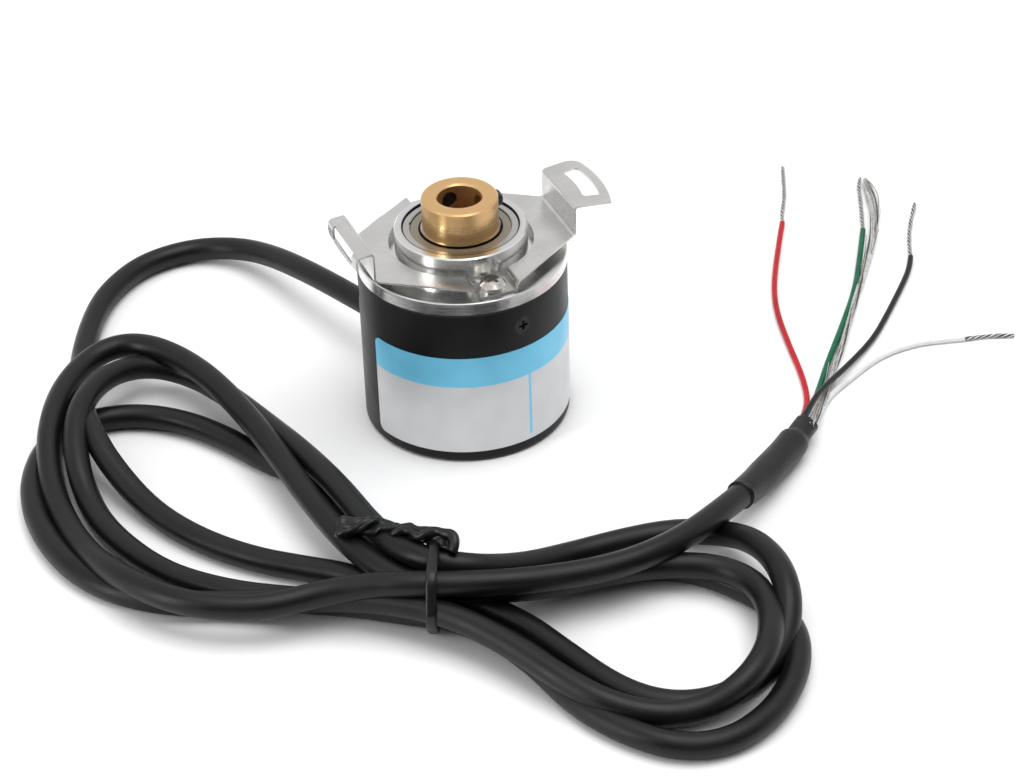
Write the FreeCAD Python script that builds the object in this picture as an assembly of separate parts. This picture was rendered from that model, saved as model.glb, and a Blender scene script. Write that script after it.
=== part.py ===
# Hollow shaft rotary encoder with a 38 mm body, a blind 8 mm bore and a sprung mounting plate.
# Millimetres, +Z up. The origin is on the shaft axis at the closed end of the cover.
# The ears of the spring plate lie along +X and -X, and its two screws along -Y and +Y.

import FreeCAD, Part
import math
import os

Vec = FreeCAD.Vector
UP = Vec(0, 0, 1)

# Sizes that the whole encoder shares
body_dia = 38.0
cover_height = 31.6
rim_height = 2.4
fit_gap = 0.02
slip_gap = 0.1

# Cover
cover_wall = 1.2
cover_floor = 1.6
cover_corner = 0.9
cover_lip_chamfer = 0.3
cover_screw_drop = 4.6
cover_screw_azimuth = -77.0
cover_screw_count = 3

# Flange
rim_chamfer = 0.15
boss_dia = 24.0
boss_height = 4.8
boss_chamfer = 0.25
spigot_depth = 8.2
spigot_wall = 2.5
hub_dia = 25.0
web_thickness = 2.6
race_shoulder_dia = 18.4

# Bearings, the 12 x 21 x 5 size
bearing_bore = 12.0
bearing_dia = 21.0
bearing_width = 5.0
bearing_recess = 0.3
bearing_spacing = 5.0
ball_dia = 2.38
ball_count = 11
race_gap = 0.03
inner_ring_dia = 14.6
outer_ring_bore = 18.0
shield_seat_dia = 18.7
shield_thickness = 0.2
shield_depth = 0.25
snap_ring_width = 0.25
cage_wall = 0.6
cage_height = 2.8

# Hollow shaft
shaft_bore = 8.0
shaft_to_board = 2.5
collar_dia = 13.8
collar_height = 6.2
collar_chamfer = 0.3
shaft_end_wall = 1.6
seat_dia = 10.0
seat_length = 4.2

# Grub screws in the collar
grub_dia = 3.0
grub_length = 3.0
grub_height = 2.8
grub_a_azimuth = 8.0
grub_b_azimuth = 98.0
grub_a_reach = 8.25
grub_b_reach = 7.1
grub_hex = 1.5
grub_hex_depth = 1.2
grub_chamfer = 0.35

# Retaining ring, disc hub, code disc and clamp ring on the shaft's lower end
clip_thickness = 0.8
clip_dia = 14.0
clip_gap = 4.0
clip_groove_depth = 0.5
hub_ring_dia = 16.0
hub_ring_height = 1.2
disc_seat_dia = 12.0
disc_to_post = 0.7
disc_thickness = 0.4
clamp_dia = 17.0
clamp_height = 0.9
slot_count = 36
disc_rim = 0.8
slot_length = 1.6
track_gap = 0.4
index_length = 1.0

# Light source above the disc, detector and mask below it
read_azimuth = -68.0
disc_clearance = 0.3
holder_length = 7.6
holder_width = 7.0
holder_height = 2.0
lamp_dia = 3.0
mask_length = 4.6
mask_width = 5.4
mask_thickness = 0.5
detector_length = 5.4
detector_width = 6.2
detector_height = 2.7

# Board and what stands on it
board_to_cover = 0.8
board_thickness = 1.2
post_dia = 2.8
post_to_cover = 1.3
post_bore_depth = 3.5
board_screw_grip = 3.0
post_azimuths = (10.0, 150.0, 250.0)
board_screw_dia = 1.4
board_screw_head = 2.6
board_screw_head_height = 0.9
chip_sizes = ((5.0, 4.0, 1.4, -6.0, -3.0), (3.0, 3.0, 1.0, 4.5, -6.0), (2.0, 1.2, 0.8, 7.0, 2.0))

# Spring plate
sheet = 0.4
plate_bottom = 1.5
plate_to_boss = 1.1
plate_side = 18.9
plate_side_half = 7.4
land_half = 3.8
land_margin = 0.25
ear_height = 5.8
bend_inside = 0.5
ear_outer_radius = 27.1
ear_end_half = 8.5
slot_radius = 23.9
slot_width = 3.0
slot_half_angle = 12.0
lip_offset = 22.6
lip_drop = 3.2
lip_front_end = -7.9
lip_back_end = 6.9
lip_corner = 1.0
lip_rail = 0.9
lip_rise = 1.0
fold_slot_edge = 22.0
fold_slot_width = 10.0
fold_slot_middle = -0.6
slot_corner = 0.6
ear_corner = 2.4

# Plate screws
plate_screw_turn = 20.0
plate_screw_dia = 2.5
plate_screw_head = 4.7
plate_screw_head_height = 1.5
plate_screw_to_boss = 0.75
plate_screw_length = 2.6
plate_hole_clearance = 0.1

# Cover screws
cover_screw_dia = 2.0
cover_screw_head = 3.4
cover_screw_length = 4.0
cover_screw_sink = 0.15

# Label
label_bottom = 2.3
label_top = 22.5
label_start = -168.0
label_end = 30.0
label_thickness = 0.1
label_corner = 1.4

# Cable: one jacket in three stretches, laid on the surface that the encoder stands on
cable_dia = 4.5
cable_azimuth = 112.3
cable_height = 9.8
grommet_dia = 6.4
grommet_head_dia = 8.0
grommet_head = 2.2
clip_ring_dia = 7.6
clip_ring_width = 2.2
cable_inside = 4.2
core_dia = 1.1
core_bends = ((14.7, 9.8), (11.6, 9.6), (9.4, 11.4), (8.6, 14.2))

# Hank: two lobes of loops, up to two jackets deep, drawn into a round bundle at the tie
waist_x = -28.6
waist_y = -57.5
waist_azimuth = -25.0
bundle_dia = 13.0
bundle_length = 10.0
bundle_taper = 11.0
bundle_end_dia = 9.0
tie_width = 2.4
tie_thickness = 0.6
tie_dia = 13.6
tie_twist_dia = 2.2

# Heat-shrink sleeve
sleeve_dia = 6.0

# Wires
strand_dia = 0.8
braid_dia = 1.8
wire_ring_radius = 1.3
wire_drop = 0.35

# Places that follow from the sizes
body_r = body_dia / 2
cover_inner_r = body_r - cover_wall
board_dia = 2 * (cover_inner_r - board_to_cover)
post_radius = cover_inner_r - post_to_cover - post_dia / 2
disc_dia = 2 * (post_radius - post_dia / 2 - disc_to_post)
slot_outer_dia = disc_dia - 2 * disc_rim
slot_inner_dia = slot_outer_dia - 2 * slot_length
index_outer_dia = slot_inner_dia - 2 * track_gap
index_inner_dia = index_outer_dia - 2 * index_length
read_radius = (slot_inner_dia + slot_outer_dia) / 4
plate_hole_dia = boss_dia + 2 * plate_to_boss
plate_screw_radius = boss_dia / 2 + plate_screw_to_boss + plate_screw_head / 2
land_reach = plate_screw_radius + plate_screw_head / 2 + land_margin
flange_top = cover_height + rim_height
boss_top = flange_top + boss_height
spigot_bottom = cover_height - spigot_depth
cover_screw_z = cover_height - cover_screw_drop
front_top = boss_top - bearing_recess
front_bottom = front_top - bearing_width
rear_top = front_bottom - bearing_spacing
rear_bottom = rear_top - bearing_width
collar_bottom = front_top
collar_top = collar_bottom + collar_height
grub_z = collar_top - grub_height
clip_top = rear_bottom
hub_ring_top = clip_top - clip_gap / 2 - clip_thickness
disc_top = hub_ring_top - hub_ring_height
disc_bottom = disc_top - disc_thickness
mask_bottom = disc_bottom - disc_clearance - mask_thickness
board_top = mask_bottom - detector_height
shaft_bottom = board_top + shaft_to_board
bore_depth = collar_top - shaft_bottom - shaft_end_wall
board_bottom = board_top - board_thickness
plate_z = flange_top + plate_bottom
land_top = flange_top + sheet
ear_top = plate_z + sheet + ear_height
slot_inner_radius = slot_radius - slot_width / 2
slot_outer_radius = slot_radius + slot_width / 2
cable_r = cable_dia / 2
core_r = core_dia / 2


def polar(radius, azimuth, z=0.0):
    """Point at a radius and an azimuth in degrees."""
    a = math.radians(azimuth)
    return Vec(radius * math.cos(a), radius * math.sin(a), z)


def cylinder(dia, z0, z1):
    return Part.makeCylinder(dia / 2, z1 - z0, Vec(0, 0, z0))


def ring(outer_dia, inner_dia, z0, z1):
    return cylinder(outer_dia, z0, z1).cut(cylinder(inner_dia, z0 - 1, z1 + 1))


def radial_cylinder(dia, r0, r1, azimuth, z):
    """Round bar along a radius, from r0 to r1."""
    return Part.makeCylinder(dia / 2, r1 - r0, polar(r0, azimuth, z), polar(1, azimuth))


def turned(profile):
    """Revolve a closed outline of (radius, z) points about the Z axis."""
    points = [Vec(r, 0, z) for r, z in profile]
    face = Part.Face(Part.makePolygon(points + points[:1]))
    return face.revolve(Vec(0, 0, 0), UP, 360)


def turn(shape, azimuth):
    return shape.rotated(Vec(0, 0, 0), UP, azimuth)


def block(x0, x1, half_width, z0, z1):
    """Box from x0 to x1, centred on the X axis."""
    return Part.makeBox(x1 - x0, 2 * half_width, z1 - z0, Vec(x0, -half_width, z0))


def edges_at(shape, test):
    """Edges whose middle point passes a test."""
    found = []
    for edge in shape.Edges:
        if test(edge.CenterOfMass):
            found.append(edge)
    return found


def corner_radius(before, corner, after):
    """Largest tangent arc that a corner's two runs allow: 0.45 of the shorter run."""
    first = corner - before
    second = after - corner
    half_turn = first.getAngle(second) / 2
    return 0.45 * min(first.Length, second.Length) / math.tan(half_turn)


def rounded_edges(points, radii, closed=False):
    """Straight runs joined by tangent arcs, one radius for each corner. Zero keeps it sharp."""
    count = len(points)
    corners = range(count) if closed else range(1, count - 1)
    cuts = {}
    for i in corners:
        if radii[i] == 0:
            continue
        corner = points[i]
        back = (points[i - 1] - corner).normalize()
        ahead = (points[(i + 1) % count] - corner).normalize()
        half_turn = (math.pi - back.getAngle(ahead)) / 2
        length = radii[i] * math.tan(half_turn)
        inward = (back + ahead).normalize()
        sagitta = radii[i] / math.cos(half_turn) - radii[i]
        cuts[i] = (corner + back * length, corner + inward * sagitta, corner + ahead * length)
    edges = []
    last = count if closed else count - 1
    for i in range(last):
        j = (i + 1) % count
        start = cuts[i][2] if i in cuts else points[i]
        end = cuts[j][0] if j in cuts else points[j]
        if (end - start).Length > 1e-6:
            edges.append(Part.LineSegment(start, end).toShape())
        if j in cuts:
            edges.append(Part.Arc(*cuts[j]).toShape())
    return edges


def cord_radii(points):
    radii = [0.0] * len(points)
    for i in range(1, len(points) - 1):
        radii[i] = corner_radius(points[i - 1], points[i], points[i + 1])
    return radii


def cord_tube(name, points, dia, radii=None):
    """Round cord along a route, checked against its section times its length."""
    radii = radii or cord_radii(points)
    path = Part.Wire(rounded_edges(points, radii))
    circle = Part.Circle(points[0], points[1] - points[0], dia / 2).toShape()
    tube = path.makePipeShell([Part.Wire(circle)], True, False)
    share = tube.Volume / (math.pi * dia * dia / 4 * path.Length)
    inner_radii = [round(r, 1) for r in radii[1:-1]]
    print(name, "length %.1f" % path.Length, "volume share %.4f" % share, "radii", inner_radii)
    return tube


def rounded_outline(points):
    """Closed flat face whose corners are the largest arcs that their runs allow."""
    count = len(points)
    radii = []
    for i in range(count):
        ahead = points[(i + 1) % count]
        turning = (points[i] - points[i - 1]).getAngle(ahead - points[i])
        radii.append(corner_radius(points[i - 1], points[i], ahead) if turning > 0.02 else 0)
    return Part.Face(Part.Wire(rounded_edges(points, radii, closed=True)))


def cross_recess(width, depth, top):
    """Cross-shaped driver recess in a screw head whose top is at z = top."""
    arm = width * 0.28
    low = top - depth
    first = Part.makeBox(width, arm, depth + 1, Vec(-width / 2, -arm / 2, low))
    second = Part.makeBox(arm, width, depth + 1, Vec(-arm / 2, -width / 2, low))
    return first.fuse(second)


# Housing

def make_flange():
    """Turned flange: rim, bearing boss, and a ring spigot and bearing hub inside the cover."""
    spigot_r = cover_inner_r - fit_gap
    hub_r = hub_dia / 2
    body = turned([
        (race_shoulder_dia / 2, spigot_bottom),
        (hub_r, spigot_bottom),
        (hub_r, cover_height - web_thickness),
        (spigot_r - spigot_wall, cover_height - web_thickness),
        (spigot_r - spigot_wall, spigot_bottom),
        (spigot_r, spigot_bottom),
        (spigot_r, cover_height),
        (body_r, cover_height),
        (body_r, flange_top - rim_chamfer),
        (body_r - rim_chamfer, flange_top),
        (boss_dia / 2, flange_top),
        (boss_dia / 2, boss_top - boss_chamfer),
        (boss_dia / 2 - boss_chamfer, boss_top),
        (race_shoulder_dia / 2, boss_top),
    ])
    body = body.cut(cylinder(bearing_dia, front_bottom, boss_top + 1))
    body = body.cut(cylinder(bearing_dia, spigot_bottom - 1, rear_top))
    for side in (-90, 90):
        hole = Part.makeCylinder(plate_screw_dia / 2, web_thickness + rim_height + 2,
                                 polar(plate_screw_radius, side, cover_height - web_thickness - 1))
        body = body.cut(hole)
    for i in range(cover_screw_count):
        azimuth = cover_screw_azimuth + i * 360 / cover_screw_count
        body = body.cut(radial_cylinder(cover_screw_dia, spigot_r - spigot_wall - 1, body_r,
                                        azimuth, cover_screw_z))
    return body


def make_cover():
    """Deep cup with a radiused closed end, countersunk side holes and a cable hole."""
    cup = turned([
        (0, 0),
        (body_r, 0),
        (body_r, cover_height - cover_lip_chamfer),
        (body_r - cover_lip_chamfer, cover_height),
        (cover_inner_r, cover_height),
        (cover_inner_r, cover_floor),
        (0, cover_floor),
    ])
    rim = edges_at(cup, lambda p: abs(p.z) < 0.01)
    cup = cup.makeFillet(cover_corner, rim)
    for i in range(cover_screw_count):
        azimuth = cover_screw_azimuth + i * 360 / cover_screw_count
        cup = cup.cut(countersink(azimuth, slip_gap))
    hole = radial_cylinder(grommet_dia, cover_inner_r - 2, body_r + 2, cable_azimuth, cable_height)
    return cup.cut(hole)


def countersink(azimuth, gap):
    """Conical head seat and shank of a cover screw, opened by a gap."""
    head_r = cover_screw_head / 2 + gap
    shank_r = cover_screw_dia / 2 + gap
    outer = body_r - cover_screw_sink
    depth = head_r - shank_r
    seat = polar(outer - depth, azimuth, cover_screw_z)
    cone = Part.makeCone(shank_r, head_r, depth, seat, polar(1, azimuth))
    mouth = radial_cylinder(2 * head_r, outer, body_r + 1, azimuth, cover_screw_z)
    shank = radial_cylinder(2 * shank_r, cover_inner_r - 1, outer, azimuth, cover_screw_z)
    return cone.fuse([mouth, shank])


def make_cover_screws():
    """Three countersunk cross-recess screws, a little below the cover's surface."""
    screws = []
    head_r = cover_screw_head / 2
    shank_r = cover_screw_dia / 2 - fit_gap
    depth = head_r - shank_r
    for i in range(cover_screw_count):
        azimuth = cover_screw_azimuth + i * 360 / cover_screw_count
        outer = body_r - cover_screw_sink
        base = polar(outer - depth, azimuth, cover_screw_z)
        cone = Part.makeCone(shank_r, head_r, depth, base, polar(1, azimuth))
        shank = radial_cylinder(2 * shank_r, outer - cover_screw_length, outer - depth / 2,
                                azimuth, cover_screw_z)
        recess = cross_recess(cover_screw_head * 0.55, 0.5, 0)
        recess.rotate(Vec(0, 0, 0), Vec(0, 1, 0), 90)
        recess.rotate(Vec(0, 0, 0), UP, azimuth)
        recess.translate(polar(outer, azimuth, cover_screw_z))
        screws.append(cone.fuse(shank).cut(recess))
    return Part.Compound(screws)


def make_label():
    """Foil label round the cover, with rounded corners."""
    span = label_end - label_start
    height = label_top - label_bottom
    base = Vec(0, 0, label_bottom)
    outer = Part.makeCylinder(body_r + label_thickness, height, base, UP, span)
    inner = Part.makeCylinder(body_r, height, base, UP, span)
    foil = turn(outer.cut(inner), label_start)
    corners = edges_at(foil, edge_is_corner)
    return foil.makeFillet(label_corner, corners)


def edge_is_corner(middle):
    """True on the four short edges that cross the foil's thickness."""
    level = min(abs(middle.z - label_bottom), abs(middle.z - label_top))
    radius = math.hypot(middle.x, middle.y)
    return level < 0.001 and abs(radius - body_r - label_thickness / 2) < 0.001


# Bearings

def make_bearing(bottom):
    """Outer ring, inner ring, balls, cage and shields of one bearing."""
    top = bottom + bearing_width
    middle = bottom + bearing_width / 2
    pitch_r = (bearing_bore + bearing_dia) / 4
    groove = Part.makeTorus(pitch_r, ball_dia / 2 + race_gap, Vec(0, 0, middle))
    outer = ring(bearing_dia, outer_ring_bore, bottom, top)
    seat = shield_depth + shield_thickness
    for z0, z1 in ((bottom - 1, bottom + seat), (top - seat, top + 1)):
        outer = outer.cut(ring(shield_seat_dia, outer_ring_bore - 1, z0, z1))
    outer = outer.cut(groove)
    inner = ring(inner_ring_dia, bearing_bore, bottom, top).cut(groove)
    balls = []
    pockets = []
    for i in range(ball_count):
        azimuth = i * 360 / ball_count
        balls.append(Part.makeSphere(ball_dia / 2, polar(pitch_r, azimuth, middle)))
        pocket_dia = ball_dia + 2 * race_gap
        pockets.append(radial_cylinder(pocket_dia, pitch_r - 2, pitch_r + 2, azimuth, middle))
    cage = ring(2 * pitch_r + cage_wall, 2 * pitch_r - cage_wall,
                middle - cage_height / 2, middle + cage_height / 2).cut(pockets)
    shields = []
    for z0 in (bottom + shield_depth, top - seat):
        shields.append(ring(shield_seat_dia, inner_ring_dia + 2 * slip_gap, z0, z0 + shield_thickness))
    return {
        "outer_ring": outer,
        "inner_ring": inner,
        "balls": Part.Compound(balls),
        "cage": cage,
        "shields": Part.Compound(shields),
    }


def make_snap_ring():
    """Split wire ring that holds the outer shield of the front bearing."""
    z0 = front_top - shield_depth
    wire_ring = ring(shield_seat_dia, shield_seat_dia - 2 * snap_ring_width, z0, front_top - 0.05)
    gap = block(0, bearing_dia, 0.4, z0 - 1, front_top + 1)
    return wire_ring.cut(turn(gap, 150))


# Shaft and what turns with it

def make_shaft():
    """Brass shaft: collar, bearing journal, disc seat, and a blind bore from the top."""
    journal_r = bearing_bore / 2
    collar_r = collar_dia / 2
    seat_top = hub_ring_top
    shaft = turned([
        (0, shaft_bottom),
        (seat_dia / 2, shaft_bottom),
        (seat_dia / 2, seat_top),
        (journal_r, seat_top),
        (journal_r, collar_bottom),
        (collar_r, collar_bottom),
        (collar_r, collar_top - collar_chamfer),
        (collar_r - collar_chamfer, collar_top),
        (0, collar_top),
    ])
    shaft = shaft.cut(cylinder(shaft_bore, collar_top - bore_depth, collar_top + 1))
    mouth = Part.makeCone(shaft_bore / 2, shaft_bore / 2 + collar_chamfer, collar_chamfer,
                          Vec(0, 0, collar_top - collar_chamfer))
    shaft = shaft.cut(mouth)
    groove = ring(bearing_bore + 2, bearing_bore - 2 * clip_groove_depth, clip_top - clip_thickness, clip_top)
    shaft = shaft.cut(groove)
    for azimuth in (grub_a_azimuth, grub_b_azimuth):
        tapped = radial_cylinder(grub_dia + 2 * fit_gap, shaft_bore / 4, collar_r + 1, azimuth, grub_z)
        shaft = shaft.cut(tapped)
    return shaft


def make_grub(azimuth, reach):
    """Socket grub screw along a radius, its outer face at a given reach."""
    screw = radial_cylinder(grub_dia, reach - grub_length, reach, azimuth, grub_z)
    outer_end = polar(reach, azimuth, grub_z)
    screw = screw.makeChamfer(grub_chamfer, edges_at(screw, lambda p: (p - outer_end).Length < 0.01))
    points = [polar(grub_hex / math.sqrt(3), 60 * i) for i in range(6)]
    socket = Part.Face(Part.makePolygon(points + points[:1])).extrude(UP * (grub_hex_depth + 1))
    socket.rotate(Vec(0, 0, 0), Vec(0, 1, 0), 90)
    socket.rotate(Vec(0, 0, 0), UP, azimuth)
    socket.translate(polar(reach - grub_hex_depth, azimuth, grub_z))
    return screw.cut(socket)


def make_shaft_clip():
    """Open retaining ring in the shaft's groove, under the rear bearing."""
    inner = bearing_bore - 2 * clip_groove_depth
    clip = ring(clip_dia, inner, clip_top - clip_thickness, clip_top)
    return clip.cut(block(0, clip_dia, clip_gap / 2, clip_top - 2, clip_top + 1))


def make_disc_hub():
    """Ring on the shaft's seat with a spigot that centres the disc."""
    hub = ring(hub_ring_dia, seat_dia, disc_top, hub_ring_top)
    spigot = ring(disc_seat_dia, seat_dia, disc_bottom, disc_top)
    return hub.fuse(spigot)


def window(inner_dia, outer_dia, azimuth, half_angle):
    """Sector-shaped window through the disc."""
    height = disc_thickness + 2
    sector = Part.makeCylinder(outer_dia / 2, height, Vec(0, 0, disc_bottom - 1), UP, 2 * half_angle)
    core = Part.makeCylinder(inner_dia / 2, height, Vec(0, 0, disc_bottom - 1))
    return turn(sector.cut(core), azimuth - half_angle)


def make_code_disc():
    """Disc with a ring of equal windows and one index window."""
    disc = ring(disc_dia, disc_seat_dia, disc_bottom, disc_top)
    pitch = 360 / slot_count
    windows = [window(slot_inner_dia, slot_outer_dia, i * pitch, pitch / 4) for i in range(slot_count)]
    windows.append(window(index_inner_dia, index_outer_dia, 0, pitch / 4))
    return disc.cut(windows)


def make_disc_clamp():
    return ring(clamp_dia, seat_dia, disc_bottom - clamp_height, disc_bottom)


# Electronics

def make_lamp_holder():
    """Moulded block under the flange that holds the lamp over the disc."""
    top = spigot_bottom
    inner = read_radius - 2.2
    holder = block(inner, inner + holder_length, holder_width / 2, top - holder_height, top)
    holder = holder.cut(Part.makeCylinder(lamp_dia / 2, 5, Vec(read_radius, 0, top - holder_height - 1)))
    return turn(holder, read_azimuth)


def make_lamp():
    """Round lamp whose lens stands a little out of its holder."""
    low = disc_top + disc_clearance + 0.2
    lens_top = low + 0.4
    lamp = Part.makeCylinder(lamp_dia / 2, spigot_bottom - 0.1 - lens_top, Vec(read_radius, 0, lens_top))
    lens = Part.makeCone(lamp_dia / 3, lamp_dia / 2, lens_top - low, Vec(read_radius, 0, low))
    return turn(lamp.fuse(lens), read_azimuth)


def make_reticle():
    inner = read_radius - 2.0
    plate = block(inner, inner + mask_length, mask_width / 2, mask_bottom, mask_bottom + mask_thickness)
    return turn(plate, read_azimuth)


def make_detector():
    inner = read_radius - 2.4
    chip = block(inner, inner + detector_length, detector_width / 2, board_top, mask_bottom)
    return turn(chip, read_azimuth)


def make_board():
    """Round board with a clearance hole under the shaft and three screw holes."""
    board = ring(board_dia, seat_dia + 2, board_bottom, board_top)
    for azimuth in post_azimuths:
        centre = polar(post_radius, azimuth, board_bottom - 1)
        board = board.cut(Part.makeCylinder(board_screw_dia / 2 + fit_gap, board_thickness + 2, centre))
    return board


def make_board_posts():
    posts = []
    for azimuth in post_azimuths:
        base = polar(post_radius, azimuth, board_top)
        post = Part.makeCylinder(post_dia / 2, spigot_bottom - board_top, base)
        bore = Part.makeCylinder(board_screw_dia / 2 + fit_gap, post_bore_depth, base)
        posts.append(post.cut(bore))
    return Part.Compound(posts)


def make_board_screws():
    screws = []
    for azimuth in post_azimuths:
        head = Part.makeCylinder(board_screw_head / 2, board_screw_head_height,
                                 polar(post_radius, azimuth, board_bottom - board_screw_head_height))
        shank = Part.makeCylinder(board_screw_dia / 2, board_thickness + board_screw_grip,
                                  polar(post_radius, azimuth, board_bottom))
        screws.append(head.fuse(shank))
    return Part.Compound(screws)


def make_board_chips():
    chips = []
    for length, width, height, x, y in chip_sizes:
        chips.append(Part.makeBox(length, width, height, Vec(x, y, board_bottom - height)))
    return Part.Compound(chips)


# Spring plate: one bent section along X, trimmed to the plan of the sheet

def bent_section(points):
    """Band one sheet thick under a line of (x, z) points, with rounded bends."""
    upper = [Vec(x, 0, z) for x, z in points]
    last = len(upper) - 1
    lower = []
    upper_radii = []
    lower_radii = []
    for i, corner in enumerate(upper):
        before = (corner - upper[i - 1]) if i > 0 else (upper[1] - corner)
        after = (upper[i + 1] - corner) if i < last else before
        before.normalize()
        after.normalize()
        miter = Vec(before.z, 0, -before.x) + Vec(after.z, 0, -after.x)
        lower.append(corner + miter * (2 * sheet / miter.Length ** 2))
        rises = before.x * after.z - before.z * after.x
        if i in (0, last):
            upper_radii.append(0)
            lower_radii.append(0)
        else:
            upper_radii.append(bend_inside if rises > 0 else bend_inside + sheet)
            lower_radii.append(bend_inside + sheet if rises > 0 else bend_inside)
    outline = upper + lower[::-1]
    radii = upper_radii + lower_radii[::-1]
    return Part.Face(Part.Wire(rounded_edges(outline, radii, closed=True)))


def sheet_section():
    """Section of the plate across both ears: lands low, plate high, ears higher."""
    wall = land_half - sheet
    top = plate_z + sheet
    crest = top + ear_height
    return bent_section([
        (-lip_offset, crest - lip_drop),
        (-lip_offset, crest),
        (-plate_side, crest),
        (-plate_side, top),
        (-wall, top),
        (-wall, land_top),
        (wall, land_top),
        (wall, top),
        (plate_side, top),
        (plate_side, crest),
        (ear_outer_radius + 1, crest),
    ])


def prism(face):
    """Upright prism over a plan, tall enough for the whole plate."""
    low = flange_top - 1
    prism_height = plate_bottom + ear_height + 4
    return face.translated(Vec(0, 0, low)).extrude(UP * prism_height)


def plate_plan():
    """Six-sided plan between the ears."""
    side = plate_side + sheet
    half = plate_side_half
    right = [
        Vec(side, -half, 0),
        Vec(side, half, 0),
        Vec(plate_side, half, 0),
        Vec(land_half, land_reach, 0),
    ]
    left = [Vec(-p.x, p.y, 0) for p in right[::-1]]
    lower_left = [Vec(-plate_side, -half, 0), Vec(-land_half, -land_reach, 0)]
    lower_right = [Vec(-p.x, p.y, 0) for p in lower_left[::-1]]
    points = right + left + lower_left + lower_right
    return Part.Face(Part.makePolygon(points + points[:1]))


def right_ear_plan():
    """The ear widens from its bend and ends on an arc round the shaft."""
    root = plate_side
    tip = math.sqrt(ear_outer_radius ** 2 - ear_end_half ** 2)
    front = Vec(tip, -ear_end_half, 0)
    back = Vec(tip, ear_end_half, 0)
    inner_front = Vec(root, -plate_side_half, 0)
    inner_back = Vec(root, plate_side_half, 0)
    return Part.Face(Part.Wire([
        Part.LineSegment(inner_back, inner_front).toShape(),
        Part.LineSegment(inner_front, front).toShape(),
        Part.Arc(front, Vec(ear_outer_radius, 0, 0), back).toShape(),
        Part.LineSegment(back, inner_back).toShape(),
    ]))


def left_ear_plan():
    """The other ear is shorter, because its outer strip is folded down."""
    points = [
        Vec(-plate_side, plate_side_half, 0),
        Vec(-lip_offset, lip_back_end, 0),
        Vec(-lip_offset, lip_front_end, 0),
        Vec(-plate_side, -plate_side_half, 0),
    ]
    return Part.Face(Part.makePolygon(points + points[:1]))


def ear_slot(low):
    """Curved slot in the flat ear, on a circle round the shaft, with rounded corners."""
    height = ear_top - low + 2
    sector = Part.makeCylinder(slot_outer_radius, height, Vec(0, 0, low), UP, 2 * slot_half_angle)
    sector = sector.cut(Part.makeCylinder(slot_inner_radius, height + 2, Vec(0, 0, low - 1)))
    middle = low + height / 2
    corners = edges_at(sector, lambda p: abs(p.z - middle) < 0.01 and abs(p.y) > 0)
    upright = [e for e in corners if abs(e.Length - height) < 0.001]
    return turn(sector.makeFillet(slot_corner, upright), -slot_half_angle)


def fold_slot():
    """Straight slot in the folded ear, cut through its bend down to the rail of the strip."""
    low = ear_top - lip_drop + lip_rail
    length = lip_offset + 1 - fold_slot_edge
    corner = Vec(-lip_offset - 1, fold_slot_middle - fold_slot_width / 2, low)
    return Part.makeBox(length, fold_slot_width, ear_top + 1 - low, corner)


def make_spring_plate():
    """Thin sprung sheet: two pressed lands on the flange, two raised ears with slots."""
    reach = land_reach + 3
    band = sheet_section().translated(Vec(0, -reach, 0)).extrude(Vec(0, 2 * reach, 0))
    ear = prism(right_ear_plan())
    back_corner = edges_at(ear, lambda p: p.y > ear_end_half - 0.01 and p.x > plate_side + 1)
    ear = ear.makeFillet(ear_corner, [e for e in back_corner if abs(e.BoundBox.XLength) < 0.001])
    plan = prism(plate_plan()).fuse([ear, prism(left_ear_plan())])
    plate = band.common(plan)
    plate = plate.cut(cylinder(plate_hole_dia, flange_top - 1, ear_top + 1))
    for side in (-90, 90):
        hole = Part.makeCylinder(plate_screw_dia / 2 + plate_hole_clearance, 4,
                                 polar(plate_screw_radius, side, flange_top - 1))
        plate = plate.cut(hole)
    plate = plate.cut(ear_slot(plate_z + sheet + ear_height / 2))
    plate = plate.cut(fold_slot())
    plate = plate.cut(lip_edge_cut()).removeSplitter()
    strip_end = edges_at(plate, lambda p: p.x < -fold_slot_edge and p.y > lip_back_end - 0.3)
    corner = [e for e in strip_end if e.BoundBox.ZLength < 0.2 and e.BoundBox.ZMax < ear_top - 1.5]
    return plate.makeFillet(lip_corner, corner)


def lip_edge_cut():
    """What the curved lower edge of the folded strip leaves off."""
    low = ear_top - lip_drop
    y = 1 - lip_front_end
    points = [Vec(0, -y, low + lip_rise), Vec(0, 0, low), Vec(0, y, low + lip_rise)]
    curve = Part.Arc(*points).toShape()
    floor = [Vec(0, y, low - 2), Vec(0, -y, low - 2)]
    sides = Part.makePolygon([points[2], floor[0], floor[1], points[0]])
    face = Part.Face(Part.Wire([curve] + sides.Edges))
    return face.translated(Vec(-lip_offset - 1, 0, 0)).extrude(Vec(3, 0, 0))


def make_plate_screws():
    """Two pan-head screws that hold the lands on the flange."""
    screws = []
    head_r = plate_screw_head / 2
    for side in (-90, 90):
        head = turned([
            (0, land_top),
            (head_r, land_top),
            (head_r, land_top + plate_screw_head_height * 0.45),
            (head_r * 0.72, land_top + plate_screw_head_height * 0.9),
            (head_r * 0.4, land_top + plate_screw_head_height),
            (0, land_top + plate_screw_head_height),
        ])
        shank = cylinder(plate_screw_dia - 2 * fit_gap, land_top - plate_screw_length, land_top + 0.1)
        recess = cross_recess(plate_screw_head * 0.55, 0.8, land_top + plate_screw_head_height)
        recess.rotate(Vec(0, 0, 0), UP, plate_screw_turn)
        screw = head.fuse(shank).cut(recess)
        screws.append(screw.translated(polar(plate_screw_radius, side)))
    return Part.Compound(screws)


# Cable and what is on it

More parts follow.
